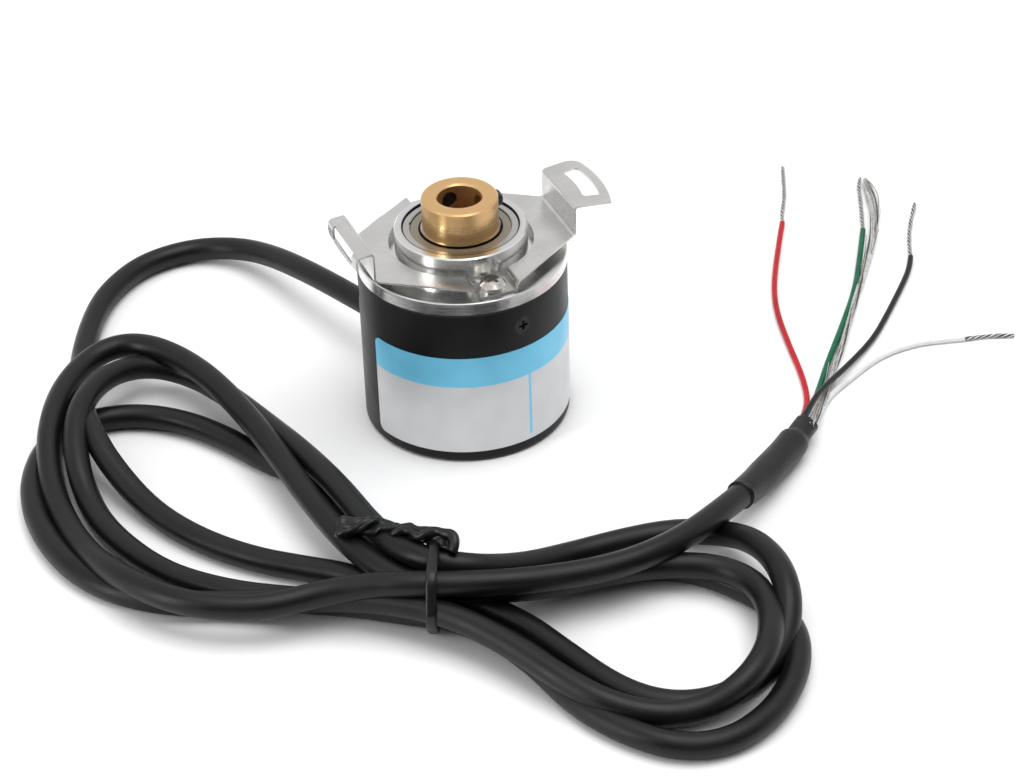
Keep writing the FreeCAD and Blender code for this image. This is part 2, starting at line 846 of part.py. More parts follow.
def make_grommet():
    """Rubber sleeve in the cover's cable hole, with a tapered head outside."""
    azimuth = cable_azimuth
    z = cable_height
    neck = radial_cylinder(grommet_dia - 2 * fit_gap, cover_inner_r - 0.6, body_r + 0.5, azimuth, z)
    head = Part.makeCone(grommet_head_dia / 2, grommet_dia / 2, grommet_head,
                         polar(body_r - 1, azimuth, z), polar(1, azimuth))
    head = head.fuse(radial_cylinder(grommet_dia, body_r - 1, body_r + grommet_head, azimuth, z))
    head = head.cut(cylinder(body_dia, 0, cover_height))
    hole = radial_cylinder(cable_dia, 0, body_r + 10, azimuth, z)
    return neck.fuse(head).cut(hole)


def make_cable_clip():
    """Crimped ring that keeps the cable from being pulled out of the cover."""
    outer = cover_inner_r - 0.8
    band = radial_cylinder(clip_ring_dia, outer - clip_ring_width, outer, cable_azimuth, cable_height)
    return band.cut(radial_cylinder(cable_dia, 0, body_r + 10, cable_azimuth, cable_height))


def make_inner_cores():
    """Five cores from the end of the jacket up to the board."""
    along = polar(1, cable_azimuth)
    across = polar(1, cable_azimuth + 90)
    cores = []
    for i in range(5):
        shift = (i - 2) * (core_dia + 0.15)
        route = []
        for (radius, z), spread in zip(core_bends, (0.75, 0.9, 1.0, 1.0)):
            route.append(along * radius + across * (shift * spread) + UP * z)
        cores.append(cord_tube("core", route, core_dia))
    return Part.Compound(cores)


# Route of the free stretch of the cable, from the grommet to the first loop
lead_route = [
    polar(body_r - cable_inside, cable_azimuth, cable_height),
    Vec(-10.6, 25.9, 9.8),
    Vec(-15.8, 42.0, 8.6),
    Vec(-20.1, 57.7, 5.4),
    Vec(-25.1, 66.4, 3.2),
    Vec(-33.1, 70.6, cable_r),
    Vec(-43.2, 68.9, cable_r),
    Vec(-51.3, 62.5, cable_r),
    Vec(-56.8, 54.7, cable_r),
    Vec(-61.4, 44.8, cable_r),
    Vec(-64.6, 36.0, cable_r),
]

# Route of the tail, from the last loop to the stripped end
tail_route = [
    Vec(19.0, -60.3, 6.9),
    Vec(25.2, -57.2, 6.8),
    Vec(33.4, -50.9, 4.6),
    Vec(42.2, -44.2, 3.1),
    Vec(50.6, -37.4, 3.0),
]

# Route of the tie's twisted ends, from the top of the waist over the loops
tie_twist_route = [
    Vec(-26.24, -52.44, 11.19),
    Vec(-26.0, -47.4, 11.8),
    Vec(-29.2, -42.2, 10.9),
    Vec(-34.0, -39.6, 10.3),
    Vec(-38.8, -38.9, 10.3),
]

# Outer edge of the tied loops, clockwise from the top of the waist
hank_outline = [
    (-22.6, -50.5), (-25.0, -40.0), (-27.6, -27.0), (-31.0, -12.0), (-34.5, 1.0), (-39.0, 14.0),
    (-44.5, 28.0), (-50.0, 39.5), (-61.0, 43.5), (-71.0, 36.0), (-78.0, 24.0), (-83.6, 8.0),
    (-85.4, -8.0), (-82.6, -25.0), (-74.6, -36.0), (-62.0, -44.6), (-49.0, -49.0), (-35.6, -53.4),
    (-30.4, -62.5), (-24.6, -69.0), (-19.4, -82.0), (-14.0, -96.0), (-5.5, -107.5), (5.4, -109.2),
    (18.0, -102.2), (25.4, -91.4), (30.2, -76.4), (29.8, -66.0), (27.0, -60.5), (23.0, -54.5),
    (14.0, -49.6), (-2.0, -47.0), (-14.0, -45.6),
]

# Edge of the second layer, where strands lie on the first one
upper_outline = [
    (-22.6, -50.5), (-25.4, -40.0), (-28.0, -27.0), (-31.6, -12.0), (-36.0, 2.0), (-41.0, 14.0),
    (-47.0, 25.0), (-53.5, 35.5), (-60.0, 35.0), (-60.0, 26.0), (-58.5, 13.0), (-57.5, -2.0),
    (-55.0, -16.0), (-49.5, -27.0), (-45.0, -44.0), (-35.6, -53.4), (-31.0, -62.5), (-26.0, -70.0),
    (-20.5, -82.0), (-15.5, -95.0), (-7.0, -105.0), (2.0, -105.6), (12.0, -101.0), (18.5, -94.0),
    (22.4, -85.0), (22.0, -75.0), (18.0, -66.5), (24.0, -61.0), (22.0, -57.0), (10.0, -57.5),
    (-6.0, -57.0), (-15.0, -54.5),
]

# Inner edges of its two lobes
left_lobe = [
    (-65.5, 9.0), (-60.0, 10.0), (-55.5, 5.0), (-51.5, -4.0), (-48.5, -14.0), (-46.0, -23.0),
    (-43.5, -32.0), (-50.5, -29.0), (-57.5, -20.0), (-62.5, -9.0),
]
right_lobe = [
    (-9.0, -69.0), (2.0, -69.0), (11.5, -71.5), (15.5, -78.0), (14.0, -86.0), (7.5, -92.0),
    (-1.0, -92.0), (-7.0, -86.0), (-10.0, -77.0),
]


def plan_face(pairs):
    return rounded_outline([Vec(x, y, 0) for x, y in pairs])


def at_waist(shape):
    """Turn a shape that is built about the X axis to the waist's direction and place."""
    placed = shape.rotated(Vec(0, 0, 0), UP, waist_azimuth)
    return placed.translated(Vec(waist_x, waist_y, tie_dia / 2))


def bar_along_x(dia, length):
    return Part.makeCylinder(dia / 2, length, Vec(-length / 2, 0, 0), Vec(1, 0, 0))


def make_bundle():
    """Round bundle under the tie, tapering into the lobes on both sides."""
    bundle = bar_along_x(bundle_dia, bundle_length)
    for side in (-1, 1):
        cone = Part.makeCone(bundle_dia / 2, bundle_end_dia / 2, bundle_taper,
                             Vec(side * bundle_length / 2, 0, 0), Vec(side, 0, 0))
        bundle = bundle.fuse(cone)
    return at_waist(bundle)


def make_hank():
    """Outer shape of the tied loops: two lobes in two layers, and a round waist."""
    lower = plan_face(hank_outline)
    upper = plan_face(upper_outline)
    for lobe in (left_lobe, right_lobe):
        lower = lower.cut(plan_face(lobe))
        upper = upper.cut(plan_face(lobe))
    hank = lower.extrude(UP * cable_dia)
    hank = hank.fuse([upper.extrude(UP * (2 * cable_dia)), make_bundle()])
    groove = bar_along_x(8 * tie_dia, tie_width + 2 * slip_gap)
    neck = bar_along_x(tie_dia - 2 * tie_thickness, 3 * tie_width)
    return hank.cut(at_waist(groove.cut(neck))).removeSplitter()


def make_tie():
    """Wire tie round the waist with its twisted ends laid over the loops."""
    bore = bar_along_x(tie_dia - 2 * tie_thickness + 2 * fit_gap, 2 * tie_width)
    band = at_waist(bar_along_x(tie_dia, tie_width).cut(bore))
    return band.fuse(cord_tube("cable_tie twist", tie_twist_route, tie_twist_dia))


def make_sleeve():
    """Heat-shrink sleeve over the end of the jacket, from the middle of a straight run."""
    radii = cord_radii(tail_route)[1:]
    start = (tail_route[1] + tail_route[2]) / 2
    route = [start] + tail_route[2:]
    outer = cord_tube("heat_shrink", route, sleeve_dia, radii)
    inner = cord_tube("heat_shrink bore", route, cable_dia + 2 * fit_gap, radii)
    return outer.cut(inner)


# Floor routes of the wires after they leave the sleeve: (x, y) points for each
wire_floor = {
    "wire_red": [(58.6, -22.5), (61.4, -9.5), (65.6, 4.0), (72.4, 17.0), (82.0, 32.4)],
    "wire_green": [(61.6, -22.6), (69.0, -13.2), (76.6, -4.8), (83.2, 4.2), (89.8, 13.6), (95.4, 23.2)],
    "shield_braid": [(64.2, -23.8), (71.4, -14.8), (79.6, -4.8), (87.8, 5.8), (95.6, 17.4),
                     (101.0, 28.6), (105.8, 40.2)],
    "wire_black": [(65.6, -25.8), (72.8, -18.8), (80.0, -12.6), (87.0, -5.6), (93.4, 1.6), (99.0, 9.4)],
    "wire_white": [(66.4, -28.2), (73.8, -22.4), (81.0, -19.4), (88.0, -18.8), (94.0, -20.2)],
}

# Bare strand of each insulated wire, from the end of its insulation
strand_floor = {
    "wire_red": [(86.6, 38.6), (89.6, 45.6), (92.4, 52.6)],
    "wire_green": [(98.4, 28.8), (101.0, 35.2), (103.2, 41.6)],
    "wire_black": [(103.6, 15.4), (107.2, 21.6), (110.6, 28.2)],
    "wire_white": [(97.2, -20.8), (100.4, -21.8), (103.4, -23.2)],
}

# Place of each wire in the end of the jacket: degrees round the cable, anticlockwise from its right side
wire_places = {
    "wire_red": 172,
    "wire_green": 234,
    "wire_black": 306,
    "wire_white": 8,
    "shield_braid": 90,
}


def wire_start(name, ahead):
    """Point ahead of the end of the jacket, on the circle of wires."""
    end = tail_route[-1]
    along = (end - tail_route[-2]).normalize()
    right = along.cross(UP).normalize()
    a = math.radians(wire_places[name])
    offset = right * (wire_ring_radius * math.cos(a)) + UP * (wire_ring_radius * math.sin(a))
    return end + along * ahead + offset


def wire_route(name, dia):
    """Out of the jacket, down to the surface and along it."""
    start = wire_start(name, 0.3)
    first = wire_floor[name][0]
    drop = Vec(start.x + wire_drop * (first[0] - start.x), start.y + wire_drop * (first[1] - start.y),
               (start.z + dia / 2) / 2)
    floor = [Vec(x, y, dia / 2) for x, y in wire_floor[name]]
    return [start, drop] + floor


def make_wire(name, dia):
    return cord_tube(name, wire_route(name, dia), dia)


def make_bare_ends():
    """Stripped strands of the four insulated wires."""
    strands = []
    for name, places in strand_floor.items():
        last = wire_floor[name][-1]
        route = [Vec(last[0], last[1], core_r)] + [Vec(x, y, strand_dia / 2) for x, y in places]
        gap = (route[1] - route[0]).normalize() * 0.05
        route[0] += gap
        strands.append(cord_tube(name + " strand", route, strand_dia))
    return Part.Compound(strands)


nodes = {
    "flange": make_flange(),
    "cover": make_cover(),
    "cover_screws": make_cover_screws(),
    "label": make_label(),
    "hollow_shaft": make_shaft(),
    "set_screw_a": make_grub(grub_a_azimuth, grub_a_reach),
    "set_screw_b": make_grub(grub_b_azimuth, grub_b_reach),
    "shaft_clip": make_shaft_clip(),
    "disc_hub": make_disc_hub(),
    "code_disc": make_code_disc(),
    "disc_clamp": make_disc_clamp(),
    "lamp_holder": make_lamp_holder(),
    "lamp": make_lamp(),
    "reticle": make_reticle(),
    "detector": make_detector(),
    "sensor_board": make_board(),
    "board_posts": make_board_posts(),
    "board_screws": make_board_screws(),
    "board_chips": make_board_chips(),
    "front_snap_ring": make_snap_ring(),
    "spring_plate": make_spring_plate(),
    "plate_screws": make_plate_screws(),
    "cable_grommet": make_grommet(),
    "cable_clip": make_cable_clip(),
    "inner_cores": make_inner_cores(),
    "cable_lead": cord_tube("cable_lead", lead_route, cable_dia),
    "cable_hank": make_hank(),
    "cable_tie": make_tie(),
    "cable_tail": cord_tube("cable_tail", tail_route, cable_dia),
    "heat_shrink": make_sleeve(),
    "bare_ends": make_bare_ends(),
    "shield_braid": make_wire("shield_braid", braid_dia),
}
for wire in ("wire_red", "wire_green", "wire_black", "wire_white"):
    nodes[wire] = make_wire(wire, core_dia)
for place, bottom in (("front", front_bottom), ("rear", rear_bottom)):
    for piece, shape in make_bearing(bottom).items():
        nodes[place + "_" + piece] = shape

os.makedirs("parts", exist_ok=True)
for name, shape in nodes.items():
    shape.exportStep("parts/" + name + ".step")
    print(name, "solids", len(shape.Solids), "valid", shape.isValid(), "volume %.2f" % shape.Volume)
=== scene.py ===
# %% [markdown]
# # A hollow shaft rotary encoder with its cable tied in a bow
# The solids come packed from the part's source: a black cover, a turned flange, a brass shaft,
# a sprung plate with two ears and the works inside. They are right in shape and need finishes.
# The cable, its loose wires, the tie and the sleeve are soft, so this lesson makes them anew:
# each as one smooth line of its real length, with the same thickness all along.

import bpy
import numpy as np
from mathutils import Matrix, Vector


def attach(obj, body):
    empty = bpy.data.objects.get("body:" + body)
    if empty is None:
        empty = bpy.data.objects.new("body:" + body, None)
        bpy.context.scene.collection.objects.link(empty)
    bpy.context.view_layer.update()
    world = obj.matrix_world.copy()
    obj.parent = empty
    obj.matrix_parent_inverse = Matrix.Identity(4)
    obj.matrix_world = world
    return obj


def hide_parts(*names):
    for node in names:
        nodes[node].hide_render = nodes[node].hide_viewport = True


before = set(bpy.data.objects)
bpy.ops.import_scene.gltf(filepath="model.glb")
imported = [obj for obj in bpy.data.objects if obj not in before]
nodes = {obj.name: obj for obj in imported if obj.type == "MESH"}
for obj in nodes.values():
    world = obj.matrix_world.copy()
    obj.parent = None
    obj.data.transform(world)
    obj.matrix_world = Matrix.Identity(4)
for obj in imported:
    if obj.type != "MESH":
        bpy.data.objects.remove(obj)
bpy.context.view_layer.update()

# %% [markdown]
# ## Camera
# The picture looks down at the encoder from 34.6 degrees above the table and from its left,
# about half a metre away, with a lens a little longer than a portrait lens. Three unit vectors
# say all of that: where the picture's right, its top and the line of sight point to. The small
# roll turns the first two about the third.

# %% Camera at the photograph's place
height_angle = np.radians(34.646)
turn = np.radians(21.378)
roll = np.radians(-1.779)

level = np.array([np.cos(turn), -np.sin(turn), 0])
sight = np.array([np.cos(height_angle) * np.sin(turn), np.cos(height_angle) * np.cos(turn),
                  -np.sin(height_angle)])
top = np.cross(level, sight)
right = np.cos(roll) * level + np.sin(roll) * top
upward = np.cos(roll) * top - np.sin(roll) * level

camera = bpy.data.objects.new("camera", bpy.data.cameras.new("camera"))
bpy.context.scene.collection.objects.link(camera)
camera.data.sensor_width = 36
camera.data.lens = 96.78
camera.data.clip_start = 0.01
camera.location = (-0.14616, -0.39607, 0.2938)
camera.rotation_mode = "QUATERNION"
camera.rotation_quaternion = Matrix(np.stack([right, upward, -sight], axis=1).tolist()).to_quaternion()
bpy.context.scene.camera = camera
print("camera looks along", sight.round(3))

# %% [markdown]
# ## Helpers for lines and surfaces
# A cord is a NURBS curve with a round bevel: few control points, smooth everywhere, and easy to
# move. What follows a cord, such as the strands of a bare wire, needs points on that curve, so
# `centre_line` lets Blender work them out once from a copy without a bevel.

# %% Curves and lines
MM = 0.001


def add_cord(name, route, diameter):
    """Smooth round cord: a quadratic NURBS curve whose control points are the route's, in mm."""
    data = bpy.data.curves.new(name, "CURVE")
    data.dimensions = "3D"
    spline = data.splines.new("NURBS")
    spline.points.add(len(route) - 1)
    coordinates = np.ones((len(route), 4))
    coordinates[:, :3] = np.array(route, float) * MM
    spline.points.foreach_set("co", coordinates.ravel())
    spline.order_u = 3
    spline.use_endpoint_u = True
    spline.resolution_u = 10
    data.bevel_depth = diameter / 2 * MM
    data.bevel_resolution = 6
    data.use_fill_caps = True
    cord = bpy.data.objects.new(name, data)
    bpy.context.scene.collection.objects.link(cord)
    return cord


def centre_line(cord):
    """Points along a cord's middle, in metres, as Blender evaluates its curve without the bevel."""
    bare = cord.copy()
    bare.data = cord.data.copy()
    bare.data.bevel_depth = 0
    bare.data.use_fill_caps = False
    bpy.context.scene.collection.objects.link(bare)
    bpy.context.view_layer.update()
    mesh = bpy.data.meshes.new_from_object(bare.evaluated_get(bpy.context.evaluated_depsgraph_get()))
    points = np.zeros(len(mesh.vertices) * 3)
    mesh.vertices.foreach_get("co", points)
    bpy.data.meshes.remove(mesh)
    bpy.data.objects.remove(bare)
    return points.reshape(-1, 3)


def lengths_along(line):
    """Distance of each point of a line from its start, along the line."""
    return np.concatenate([[0], np.cumsum(np.linalg.norm(np.diff(line, axis=0), axis=1))])


def resample(line, count, start=0, end=None):
    """The same line with its points at equal distances, from one length along it to another."""
    along = lengths_along(line)
    wanted = np.linspace(start, along[-1] if end is None else end, count)
    return np.stack([np.interp(wanted, along, line[:, axis]) for axis in range(3)], axis=1)


def unit(vectors):
    return vectors / np.maximum(np.linalg.norm(vectors, axis=-1, keepdims=True), 1e-12)


def line_frames(line):
    """Two directions square to a line that lies about flat: one level, to its right, and one upward."""
    along = unit(np.gradient(line, axis=0))
    sideways = unit(np.cross(along, [0, 0, 1]))
    return along, sideways, np.cross(sideways, along)


print("one scene unit is a metre, and the routes are in mm, times", MM)

# %% [markdown]
# ## Helpers for tubes and meshes
# Sleeves, strands and twisted ends are tubes: a ring of points round each point of a line. The rings
# form a grid, its faces join each point to its neighbours, and a middle point closes each end.
# `add_mesh` puts the points of such a grid into a mesh in one go.

# %% Tubes and meshes
def tube_grid(line, radius, sides=16, turned=0.0):
    """Tube round a line: at each of its points a ring, whose radius may change along it and round it.

    Point (i, j) is the line's point i plus the radius times the direction at angle j of its ring.
    """
    _, sideways, above = line_frames(line)
    angle = np.linspace(0, 2 * np.pi, sides, endpoint=False)[None, :] + np.reshape(turned, (-1, 1))
    radius = np.broadcast_to(np.asarray(radius, float), (len(line), sides))
    ring = sideways[:, None] * np.cos(angle)[..., None] + above[:, None] * np.sin(angle)[..., None]
    return line[:, None] + radius[..., None] * ring


def grid_quads(rows, columns, first=0, closed=True):
    """Four-sided faces of a grid of points, row by row, joined round if it is closed."""
    last_column = columns if closed else columns - 1
    row, column = np.meshgrid(np.arange(rows - 1), np.arange(last_column), indexing="ij")
    beside = (column + 1) % columns
    corner = row * columns
    return first + np.stack([corner + column, corner + beside, corner + columns + beside,
                             corner + columns + column], axis=-1).reshape(-1, 4)


def tube_parts(grid, first=0):
    """Points and faces of a closed tube: its grid and a middle point for the cap at each end."""
    rows, sides = grid.shape[:2]
    middles = grid[[0, -1]].mean(axis=1)
    points = np.concatenate([grid.reshape(-1, 3), middles])
    ring = np.arange(sides)
    beside = (ring + 1) % sides
    start = np.stack([np.full(sides, rows * sides), beside, ring], axis=1) + first
    last = (rows - 1) * sides
    end = np.stack([np.full(sides, rows * sides + 1), last + ring, last + beside], axis=1) + first
    return points, grid_quads(rows, sides, first).tolist() + start.tolist() + end.tolist()


def add_mesh(name, points, faces, smooth=True):
    mesh = bpy.data.meshes.new(name)
    mesh.from_pydata(np.asarray(points).tolist(), [], faces)
    mesh.polygons.foreach_set("use_smooth", np.full(len(mesh.polygons), smooth))
    mesh.update()
    piece = bpy.data.objects.new(name, mesh)
    bpy.context.scene.collection.objects.link(piece)
    return piece


def add_tubes(name, grids, painted_shades=None):
    """One mesh of several closed tubes. Each may have a painted shade, a darkening for shadow, kept as an
    attribute of its points.
    """
    points, faces, count = [], [], 0
    for grid in grids:
        new_points, new_faces = tube_parts(grid, count)
        points.append(new_points)
        faces += new_faces
        count += len(new_points)
    tubes = add_mesh(name, np.concatenate(points), faces)
    if painted_shades is not None:
        values = np.repeat(np.array(painted_shades, dtype=np.float32), [len(one) for one in points])
        attribute = tubes.data.attributes.new("painted_strand_shade", "FLOAT", "POINT")
        attribute.data.foreach_set("value", values)
    return tubes


print("helpers for tubes and meshes are ready")

# %% [markdown]
# ## The cable
# One cable leaves the cover at the back, lies round to the left and is folded into loops, three on
# each side of the tie. The loops differ in size, as hand-wound ones do, and rest on the table or on
# each other, so a strand that crosses another rises over it and comes down again. The whole of it
# is one curve, because it is one cable: 1.415 m from the cover to the end of its jacket. The points
# are control points, a little outside each bend. Seven passes go through the tie. `rest` is the
# height of a strand's middle where it lies on the table.

# %% Route of the cable, in mm
cable_diameter = 4.5
rest = cable_diameter / 2
cable_route = [
    # out of the cover and round to the left
    (-5.62, 13.69, 9.8), (-10.6, 25.9, 9.8), (-15.8, 42, 8.6), (-20.1, 57.7, 5.4), (-25.1, 66.4, 3.2),
    (-33.1, 70.6, rest), (-43.2, 68.9, rest), (-51.3, 62.5, rest), (-56.8, 54.7, rest),
    (-61.4, 44.8, rest), (-64.6, 36, 2.4), (-67.2, 26, 3.6), (-68.7, 17, 6.8), (-69.1, 8.7, 7.6),
    (-68, 0.8, 5.2), (-64.6, -11, 2.4), (-59.4, -22.2, rest), (-52.3, -31.5, rest),
    (-45.1, -37.8, 2.4), (-38.8, -43.6, 3),
    # first pass of the tie, then the inner right loop from its low side
    (-32.3, -52.6, 3.38), (-22.7, -58.6, 3.38), (-16.5, -67, 2.6), (-13.3, -76, rest), (-9.5, -87, rest),
    (-4.5, -94, rest), (2.5, -97, rest), (10.5, -96, rest), (17, -92, 2.3), (21.4, -88.3, 3.8),
    (24.7, -82.5, 7.2), (26.3, -74.5, 7.6), (26, -66, 6), (23.6, -58.9, 3.2), (17, -54.1, rest),
    (8, -53, rest), (-3, -53.1, 2.5), (-12.8, -56.2, 5.6), (-22.9, -58.3, 10.2), (-30.7, -51.5, 10.3),
    # inner left loop, over its top first
    (-33, -39, 8.6), (-33.8, -26, 7.8), (-36, -12, 7), (-38.8, 1.2, 5.6), (-41.8, 15.4, 4),
    (-46.4, 25.4, 4), (-53.8, 29, 5.8), (-62.8, 24.4, 8.4), (-70, 15.1, 9.2), (-73.6, 4.6, 6.8),
    (-74, -5, 2.6), (-72.6, -16, rest), (-67.6, -29, rest), (-59, -38.6, rest), (-48.5, -45.5, rest),
    (-40.5, -51, 2.8),
    # outer right loop
    (-34.2, -56.6, 3.38), (-25, -63.4, 3.38), (-19, -75, 2.6), (-16.6, -88, rest),
    (-12.4, -97.2, rest), (-6.1, -104.7, rest), (2, -106.9, rest), (11.3, -103.5, rest), (18.8, -96.8, rest),
    (23.6, -88.3, rest), (23.8, -80.2, rest), (20.2, -71.6, rest), (13.8, -63.6, rest), (4, -60, rest),
    (-8, -59.3, 3.2), (-21, -57.2, 6.7), (-30.3, -49.8, 6.7),
    # widest left loop, low on the table
    (-33.3, -32, 3.6), (-35.4, -13.5, 2.4), (-40.8, -5.8, rest), (-45.2, 4, rest), (-50.7, 12.5, rest),
    (-58.5, 18.8, rest), (-68, 20.5, rest), (-76.6, 15.6, rest), (-81.8, 6, rest), (-83.8, -6, rest),
    (-82.4, -18.5, rest), (-77.8, -29, rest), (-69.2, -37.2, rest), (-57.6, -43, 2.6), (-46, -49.2, 4.6),
    # middle right loop
    (-37.2, -56.2, 6.5), (-28, -65, 6.8), (-21.5, -76, 6), (-17.4, -85.5, 5.2), (-13, -92.5, 4.2),
    (-6.1, -97.7, 3.2), (1.5, -99.7, 3.6), (8.4, -99.3, 6.4), (14.4, -95, 7.4), (18.8, -88, 6.6),
    (21.4, -80.9, 5.6), (21.3, -74, 5), (17.1, -68.1, 4.8), (8.6, -64.3, 4.8), (-1, -63, 4.9),
    (-12.3, -62.7, 5.5), (-23.4, -60.2, 6.8), (-33.2, -53.2, 6.8),
    # last left loop, above the others
    (-37.4, -41.5, 7.1), (-39.4, -27, 7.1), (-40.4, -11, 7.3), (-42.2, 3, 8.2), (-45.2, 17.2, 8.8),
    (-50, 28.6, 8.6), (-56, 34.2, 8), (-63, 33, 7.4), (-70.2, 25.5, 7.3), (-75.4, 15.5, 6.8), (-78.2, 6, 4.8),
    (-79.4, -4, 2.8), (-78.6, -18, 3.2), (-75.4, -33, 6.6), (-68, -44.4, 6.9), (-56.5, -50.6, 6.8),
    (-46, -51.4, 7.4), (-38.5, -55, 9.2), (-33, -58.9, 10.4), (-25, -62.4, 10.3),
    # the free end, with the sleeve on it
    (-12.5, -64.7, 8.8), (1.2, -66.6, 8.6), (13.9, -63.8, 8.2), (25.2, -57.2, 6.8), (33.4, -50.9, 4.6),
    (42.2, -44.2, 3.1), (46.7, -40.55, 3.05),
]
cable = add_cord("cable", cable_route, cable_diameter)
cable_line = centre_line(cable)
cable_length = lengths_along(cable_line)[-1]
print("cable: %.3f m in %d points" % (cable_length, len(cable_route)))

# %% [markdown]
# ## The sleeve on the cable's end
# A heat-shrink sleeve grips the end of the jacket and necks down over the bare wires. It is the
# tube formula with a radius that depends on the place along it and a little on the angle, where the
# shrunk sleeve folds. The neck is a smooth step, `1 / (1 + exp(-(s - neck_place) / neck_run))`, over
# the share s of the sleeve's length.

# %% Heat-shrink sleeve
sleeve_on_jacket = 0.0212
neck_place = 0.81
neck_run = 0.014
sleeve_start = cable_length - sleeve_on_jacket
sleeve_end = np.array([50.6, -37.4, 3.0])
ahead = unit(sleeve_end * MM - cable_line[-1])
beyond = np.linspace(0.0002, 0.0068, 30)[:, None] * ahead
sleeve_path = np.concatenate([resample(cable_line, 60, sleeve_start), cable_line[-1] + beyond])
sleeve_line = resample(sleeve_path, 120)
share = np.linspace(0, 1, len(sleeve_line))
angle = np.linspace(0, 2 * np.pi, 48, endpoint=False)
neck = 1 / (1 + np.exp(-(share - neck_place) / neck_run))
radius = 2.5 + 0.42 * np.clip(share / 0.3, 0, 1) ** 0.7 - 0.86 * neck + 0.14 * np.exp(-share / 0.01)
ragged = np.clip((share[:, None] - 0.955) / 0.045, 0, 1) * np.sin(3 * angle[None] + 1)
folds = 0.13 * np.sin(2 * angle[None] + 9 * share[:, None])
folds = folds + 0.08 * np.sin(5 * angle[None] - 6 * share[:, None])
ripple = folds * neck[:, None] + 0.05 * np.sin(3 * angle[None] - 14 * share[:, None])
radius = (radius[:, None] + ripple + 0.12 * ragged) * MM
sleeve = add_tubes("heat_shrink_sleeve", [tube_grid(sleeve_line, radius, 48)])
print("sleeve:", len(sleeve.data.vertices), "points")

# %% [markdown]
# ## The tie
# A soft black wire tie goes once round the seven strands. Its band is a flat strip carried round the
# hull of the strands where they cross the plane of the waist: in each direction it lies on the strand
# that reaches farthest that way.

# %% Band of the tie
waist = np.array([-28.6, -57.5, 6.8])
axis_along = np.array([0.906, -0.423, 0])
axis_across = np.array([0.423, 0.906, 0])
line_mm = cable_line / MM
side = (line_mm - waist) @ axis_along
crossing = np.nonzero(side[:-1] * side[1:] < 0)[0]
part = (side[crossing] / (side[crossing] - side[crossing + 1]))[:, None]
strands = line_mm[crossing] + part * (line_mm[crossing + 1] - line_mm[crossing])
reach_of_tie = 14
strands = strands[np.linalg.norm(strands - waist, axis=1) < reach_of_tie]
around = np.linspace(0, 2 * np.pi, 96, endpoint=False)
facing = np.cos(around)[:, None] * axis_across + np.sin(around)[:, None] * [0, 0, 1]
farthest = np.argmax(facing @ strands.T, axis=1)
band_lift = 0.45
middle = strands[farthest] + (cable_diameter / 2 + band_lift) * facing
middle[:, 2] = np.maximum(middle[:, 2], band_lift)
print(len(strands), "strands pass through the tie")
section = np.linspace(0, 2 * np.pi, 16, endpoint=False)
wide = 0.9 * np.sign(np.cos(section)) * np.abs(np.cos(section)) ** 0.6
thick = 0.4 * np.sin(section)
band_points = middle[:, None] + wide[None, :, None] * axis_along + thick[None, :, None] * facing[:, None]
band_points = band_points * MM
rows = np.concatenate([band_points, band_points[:1]])
quads = grid_quads(len(rows), len(section)) % (len(around) * len(section))
band = add_mesh("tie_band", band_points.reshape(-1, 3), quads.tolist())

# %% [markdown]
# ## The tie's twisted ends
# The two ends of the tie are twisted together and bent back along the loops. Each end is a flattened
# tube, `1.1 + 0.72 cos 2a` mm from its middle at the angle a, which turns as it goes and is dented by
# a few slow waves. Near the tips the two ends come apart.

# %% Twisted ends
twist_route = [(-25.4, -55.4, 12.7), (-24.1, -54.8, 13.2), (-24.9, -52.6, 13.0), (-27.1, -49.8, 12.4),
               (-29.9, -46.3, 11.6), (-32.9, -43.2, 11.1), (-36.2, -40.8, 10.8), (-39, -39.2, 10.4)]
twist_middle = add_cord("tie_twist_line", twist_route, 1)
twist_line = resample(centre_line(twist_middle), 150)
bpy.data.objects.remove(twist_middle)
_, sideways, above = line_frames(twist_line)
share = np.linspace(0, 1, len(twist_line))[:, None]
turns = 2 * np.pi * (1.3 * share + 0.13 * np.sin(9 * share) + 0.06 * np.sin(25 * share))
flat = np.linspace(0, 2 * np.pi, 20, endpoint=False)[None]
ends = []
for phase, offset, loose in ((0.0, 0.4, 0.0), (2.2, 0.4, 1.3)):
    apart = offset + loose * np.clip((share - 0.72) / 0.28, 0, 1) ** 2
    strand = twist_line + apart * MM * (np.cos(turns + phase) * sideways + np.sin(turns + phase) * above)
    ribbon = 1.1 + 0.72 * np.cos(2 * flat) + 0.12 * np.sin(27 * share + phase)
    ribbon = ribbon + 0.1 * np.sin(3 * flat + 41 * share)
    ribbon = ribbon * np.clip((1.02 - share) / 0.06, 0.55, 1)
    ends.append(tube_grid(strand, ribbon * MM, 20, turned=0.8 * turns[:, 0] + phase))
twisted_ends = add_tubes("tie_twist", ends)
print("tie made of", len(band.data.polygons) + len(twisted_ends.data.polygons), "faces")

# %% [markdown]
# ## The loose wires
# Four insulated cores and the screen come out of the sleeve and lie fanned out on the table. Each
# core is a curve of its own with control points close to those of the solid wire. The points are
# places on the table in mm, and those with a third number are lifted to it, where the black core
# crosses the others.

